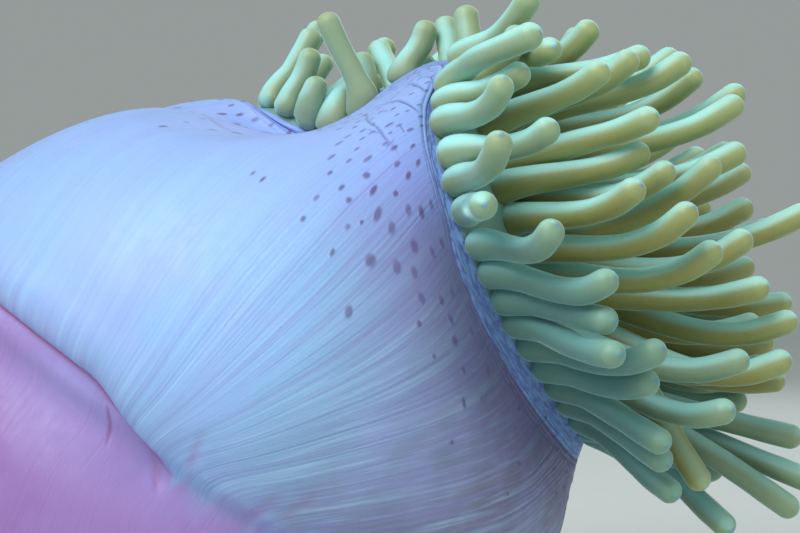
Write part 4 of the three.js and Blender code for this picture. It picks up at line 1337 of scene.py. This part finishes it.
def studio_paper(colours):
    """Matt painted studio floor, pale and even, with no gloss."""
    material, tree = new_material("matt_studio_floor")
    # Rolled paint is uneven over about 25 mm.
    spots = patterns(tree, millimetres(tree), {"paint": ((25.0, 25.0, 25.0), 3.0, 0.0, 1.0)})
    colour = layered(tree, colours.floor, [(spots["paint"], 0.15, colours.floor_shade)])
    shader = node(tree, "ShaderNodeBsdfPrincipled", links={"Base Color": colour, "Roughness": 0.9})
    node(tree, "ShaderNodeOutputMaterial", links={"Surface": shader.outputs[0]})
    return material


# ---- properties -------------------------------------------------------------------------------

def metres(name, description, value):
    return bpy.props.FloatProperty(name=name, description=description, default=value, min=0.0,
                                   unit="LENGTH", subtype="DISTANCE", precision=5)


def paint(name, description, text):
    return bpy.props.FloatVectorProperty(name=name, description=description, default=linear(text),
                                         size=4, subtype="COLOR", min=0.0, max=1.0)


def whole(name, description, value):
    return bpy.props.IntProperty(name=name, description=description, default=value, min=4)


class AnemoneBody(bpy.types.PropertyGroup):
    """Sizes of the skin of the body."""

    meridians: whole("Meridians", "Columns of the net of the skin", 1152)
    pleats: whole("Pleats", "Fine pleats round the column", 216)
    pleat_depth: metres("Pleat depth", "Depth of the grooves between two pleats", 0.00028)
    fold_depth: metres("Fold depth", "Height of the broader folds", 0.00028)
    crease_depth: metres("Crease depth", "Depth of the fold above the foot", 0.0045)
    wrinkle_depth: metres("Wrinkle depth", "Depth of the wrinkles across the pleats", 0.0009)
    wart_height: metres("Wart height", "Rise of a wart over the skin", 0.00025)


class AnemoneFingers(bpy.types.PropertyGroup):
    """Sizes of the tentacles."""

    thickness: metres("Thickness", "Thickness at mid length", 0.0087)
    sides: whole("Sides", "Faces round a tentacle", 20)
    rings: whole("Rings", "Rings along a tentacle", 44)
    tip_rings: whole("Tip rings", "Rings over the rounded tip", 7)


class AnemoneColours(bpy.types.PropertyGroup):
    """Colours of the flesh and the floor."""

    # Painted light and painted shade of the column: pale sky blue on the side that faces the light, grey
    # lavender on the underside.
    column_painted_light: paint("Column, light", "Pale sky blue of the lit side", "#94CAF8")
    column_painted_shade: paint("Column, shade", "Grey lavender of the underside", "#76748A")
    # Painted shade laid over the highest skin.
    column_top_shade: paint("Column, top", "Deeper blue of the highest skin", "#80A5E8")
    # Painted shade just over the crease.
    belly_shade_grey: paint("Column, belly", "Grey lilac skin over the crease", "#8684B0")
    column_lilac: paint("Column, lilac", "Lilac patches", "#A6B0F2")
    # Partly the skin's own violet, partly painted shade under the margin.
    rim_violet_and_shade: paint("Rim, violet", "Violet skin below the margin", "#64507E")
    # Painted light on the violet skin high up.
    rim_painted_light: paint("Rim, lilac", "Blue lilac of that skin high up", "#9C9EF8")
    edge_violet: paint("Edge, violet", "Violet mottles of the thin edge", "#5D62A8")
    rim_blue: paint("Rim, blue", "Thin blue edge of the margin", "#7FA2DC")
    band_dark: paint("Bands, dark", "Muscle bands seen through the skin", "#8A8CC4")
    band_light: paint("Bands, light", "Pale bands between them", "#B6E0FC")
    # Painted shade in the bottoms of the pleats.
    groove_shade: paint("Grooves", "Bottom of the pleats", "#5B6CAA")
    # Painted shade in the bottoms of the wrinkles.
    wrinkle: paint("Wrinkles", "Bottom of the wrinkles by the margin", "#3C3F78")
    wart: paint("Warts", "Dull purple warts", "#5C4A7C")
    foot_pink: paint("Foot, pink", "Magenta pink of the lower column", "#925EA2")
    foot_lilac: paint("Foot, lilac", "Lilac of the lower column and of the fold over it", "#9E93D0")
    crease_red: paint("Crease, red", "Deep pink bottom of the crease", "#9C3E7E")
    # Painted shade near the roots, and the colour of the algae clusters.
    tentacle_algae_and_root_shade: paint("Tentacle, deep", "Brown olive near the roots", "#747842")
    tentacle_teal: paint("Tentacle, teal", "Grey teal core of the margin row", "#789F92")
    # Painted shade of the lowest margin tentacles.
    tentacle_low_shade: paint("Tentacle, low", "Dark teal core of the lowest margin tentacles", "#588680")
    tentacle_olive: paint("Tentacle, olive", "Olive core", "#929558")
    # Painted light of the side that faces up.
    tentacle_lit_side: paint("Tentacle, upper", "Pale blue-green upper side", "#AAF2F4")
    tentacle_tan: paint("Tentacle, tan", "Tan of some tentacles", "#96884A")
    # Also painted light on the higher tentacles.
    tentacle_tip_and_lit_top: paint("Tentacle, tip", "Pale yellow-green tips", "#A9BC8E")
    tentacle_edge: paint("Tentacle, edge", "Pale blue-green of the thin edges", "#C8FFFA")
    pore_blue: paint("Pore, blue", "Small pore at the tip", "#4F8FC0")
    floor: paint("Floor", "Pale studio floor", "#DDE6E4")
    floor_shade: paint("Floor, shade", "Slightly darker places of the floor", "#CAD3D2")


class AnemoneStage(bpy.types.PropertyGroup):
    """Sizes of the stage: floor, camera and lights."""

    floor_radius: metres("Floor radius", "Radius of the round floor", 4.0)
    camera_distance: metres("Camera distance", "From the camera to the middle of the animal", -EYE[1] * MM)
    camera_side: metres("Camera side", "Place of the camera along X", EYE[0] * MM)
    camera_height: metres("Camera height", "Height of the camera over the floor", EYE[2] * MM)
    lens: bpy.props.FloatProperty(name="Lens", description="Focal length in millimetres", default=72.5)
    key_power: bpy.props.FloatProperty(name="Key light", description="Power in watts", default=18.5)
    fill_power: bpy.props.FloatProperty(name="Fill light", description="Power in watts", default=3.0)
    sky: bpy.props.FloatProperty(name="Sky light", description="Strength of the even light", default=0.38)


# ---- operators --------------------------------------------------------------------------------

class ANEMONE_OT_skin(bpy.types.Operator):
    """Make the skin of the whole animal in place of its plain solids"""

    bl_idname = "anemone.skin"
    bl_label = "Skin"

    def execute(self, context):
        scene = context.scene
        found = plant()
        paths = spread(found)
        net = Net()
        add_body(net, scene.anemone_body, [one["root"] for one in found])
        add_fingers(net, found, paths, scene.anemone_fingers)
        skin = net.build("anemone_skin")
        skin.data.materials.append(column_flesh(scene.anemone_colours))
        skin.data.materials.append(tentacle_flesh(scene.anemone_colours))
        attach(skin, "root")
        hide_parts("pedal_disc", "lower_column", "upper_column", "collar", "mouth", "tentacle_crown")
        return {"FINISHED"}


class ANEMONE_OT_stage(bpy.types.Operator):
    """Make the plain floor, the soft lights and the camera"""

    bl_idname = "anemone.stage"
    bl_label = "Stage"

    def execute(self, context):
        scene = context.scene
        stage = scene.anemone_stage
        bpy.ops.mesh.primitive_circle_add(vertices=128, radius=stage.floor_radius, fill_type="NGON")
        floor = context.object
        floor.name = "studio_floor"
        floor.data.materials.append(studio_paper(scene.anemone_colours))
        for name, power, size, place in LIGHTS:
            add_light(name, place, size, getattr(stage, power))
        add_sky(scene, stage.sky)
        data = bpy.data.cameras.new("camera")
        data.lens = stage.lens
        data.sensor_width = SENSOR_WIDTH
        camera = bpy.data.objects.new("camera", data)
        camera.location = (stage.camera_side, -stage.camera_distance, stage.camera_height)
        camera.rotation_euler = (math.pi / 2, 0, 0)
        context.collection.objects.link(camera)
        scene.camera = camera
        scene.view_settings.view_transform = "Standard"
        return {"FINISHED"}


def add_light(name, place, size, power):
    """A square soft light that faces the middle of the animal."""
    data = bpy.data.lights.new(name, "AREA")
    data.size = size
    data.energy = power
    light = bpy.data.objects.new(name, data)
    light.location = place
    aim = Vector(LIT_PLACE) - light.location
    light.rotation_euler = aim.to_track_quat("-Z", "Y").to_euler()
    bpy.context.collection.objects.link(light)


def add_sky(scene, strength):
    world = bpy.data.worlds.new("soft_studio_light")
    world.use_nodes = True
    background = world.node_tree.nodes["Background"]
    background.inputs["Color"].default_value = linear(SKY_COLOUR)
    background.inputs["Strength"].default_value = strength
    scene.world = world


class ANEMONE_PT_panel(bpy.types.Panel):
    """Sizes, colours and operators of the sea anemone"""

    bl_idname = "ANEMONE_PT_panel"
    bl_label = "Sea anemone"
    bl_space_type = "VIEW_3D"
    bl_region_type = "UI"
    bl_category = "Anemone"

    def draw(self, context):
        for name in GROUPS:
            box = self.layout.box()
            for key in GROUPS[name].__annotations__:
                box.prop(getattr(context.scene, name), key)
        for operator in OPERATORS:
            self.layout.operator(operator.bl_idname)


GROUPS = {
    "anemone_body": AnemoneBody,
    "anemone_fingers": AnemoneFingers,
    "anemone_colours": AnemoneColours,
    "anemone_stage": AnemoneStage,
}
OPERATORS = (ANEMONE_OT_skin, ANEMONE_OT_stage)
CLASSES = (*GROUPS.values(), *OPERATORS, ANEMONE_PT_panel)


def register():
    for each in CLASSES:
        bpy.utils.register_class(each)
    for name, group in GROUPS.items():
        setattr(bpy.types.Scene, name, bpy.props.PointerProperty(type=group))


def unregister():
    for name in GROUPS:
        delattr(bpy.types.Scene, name)
    for each in reversed(CLASSES):
        bpy.utils.unregister_class(each)


def main():
    register()
    bpy.ops.anemone.skin()
    bpy.ops.anemone.stage()


if __name__ == "__main__":
    main()
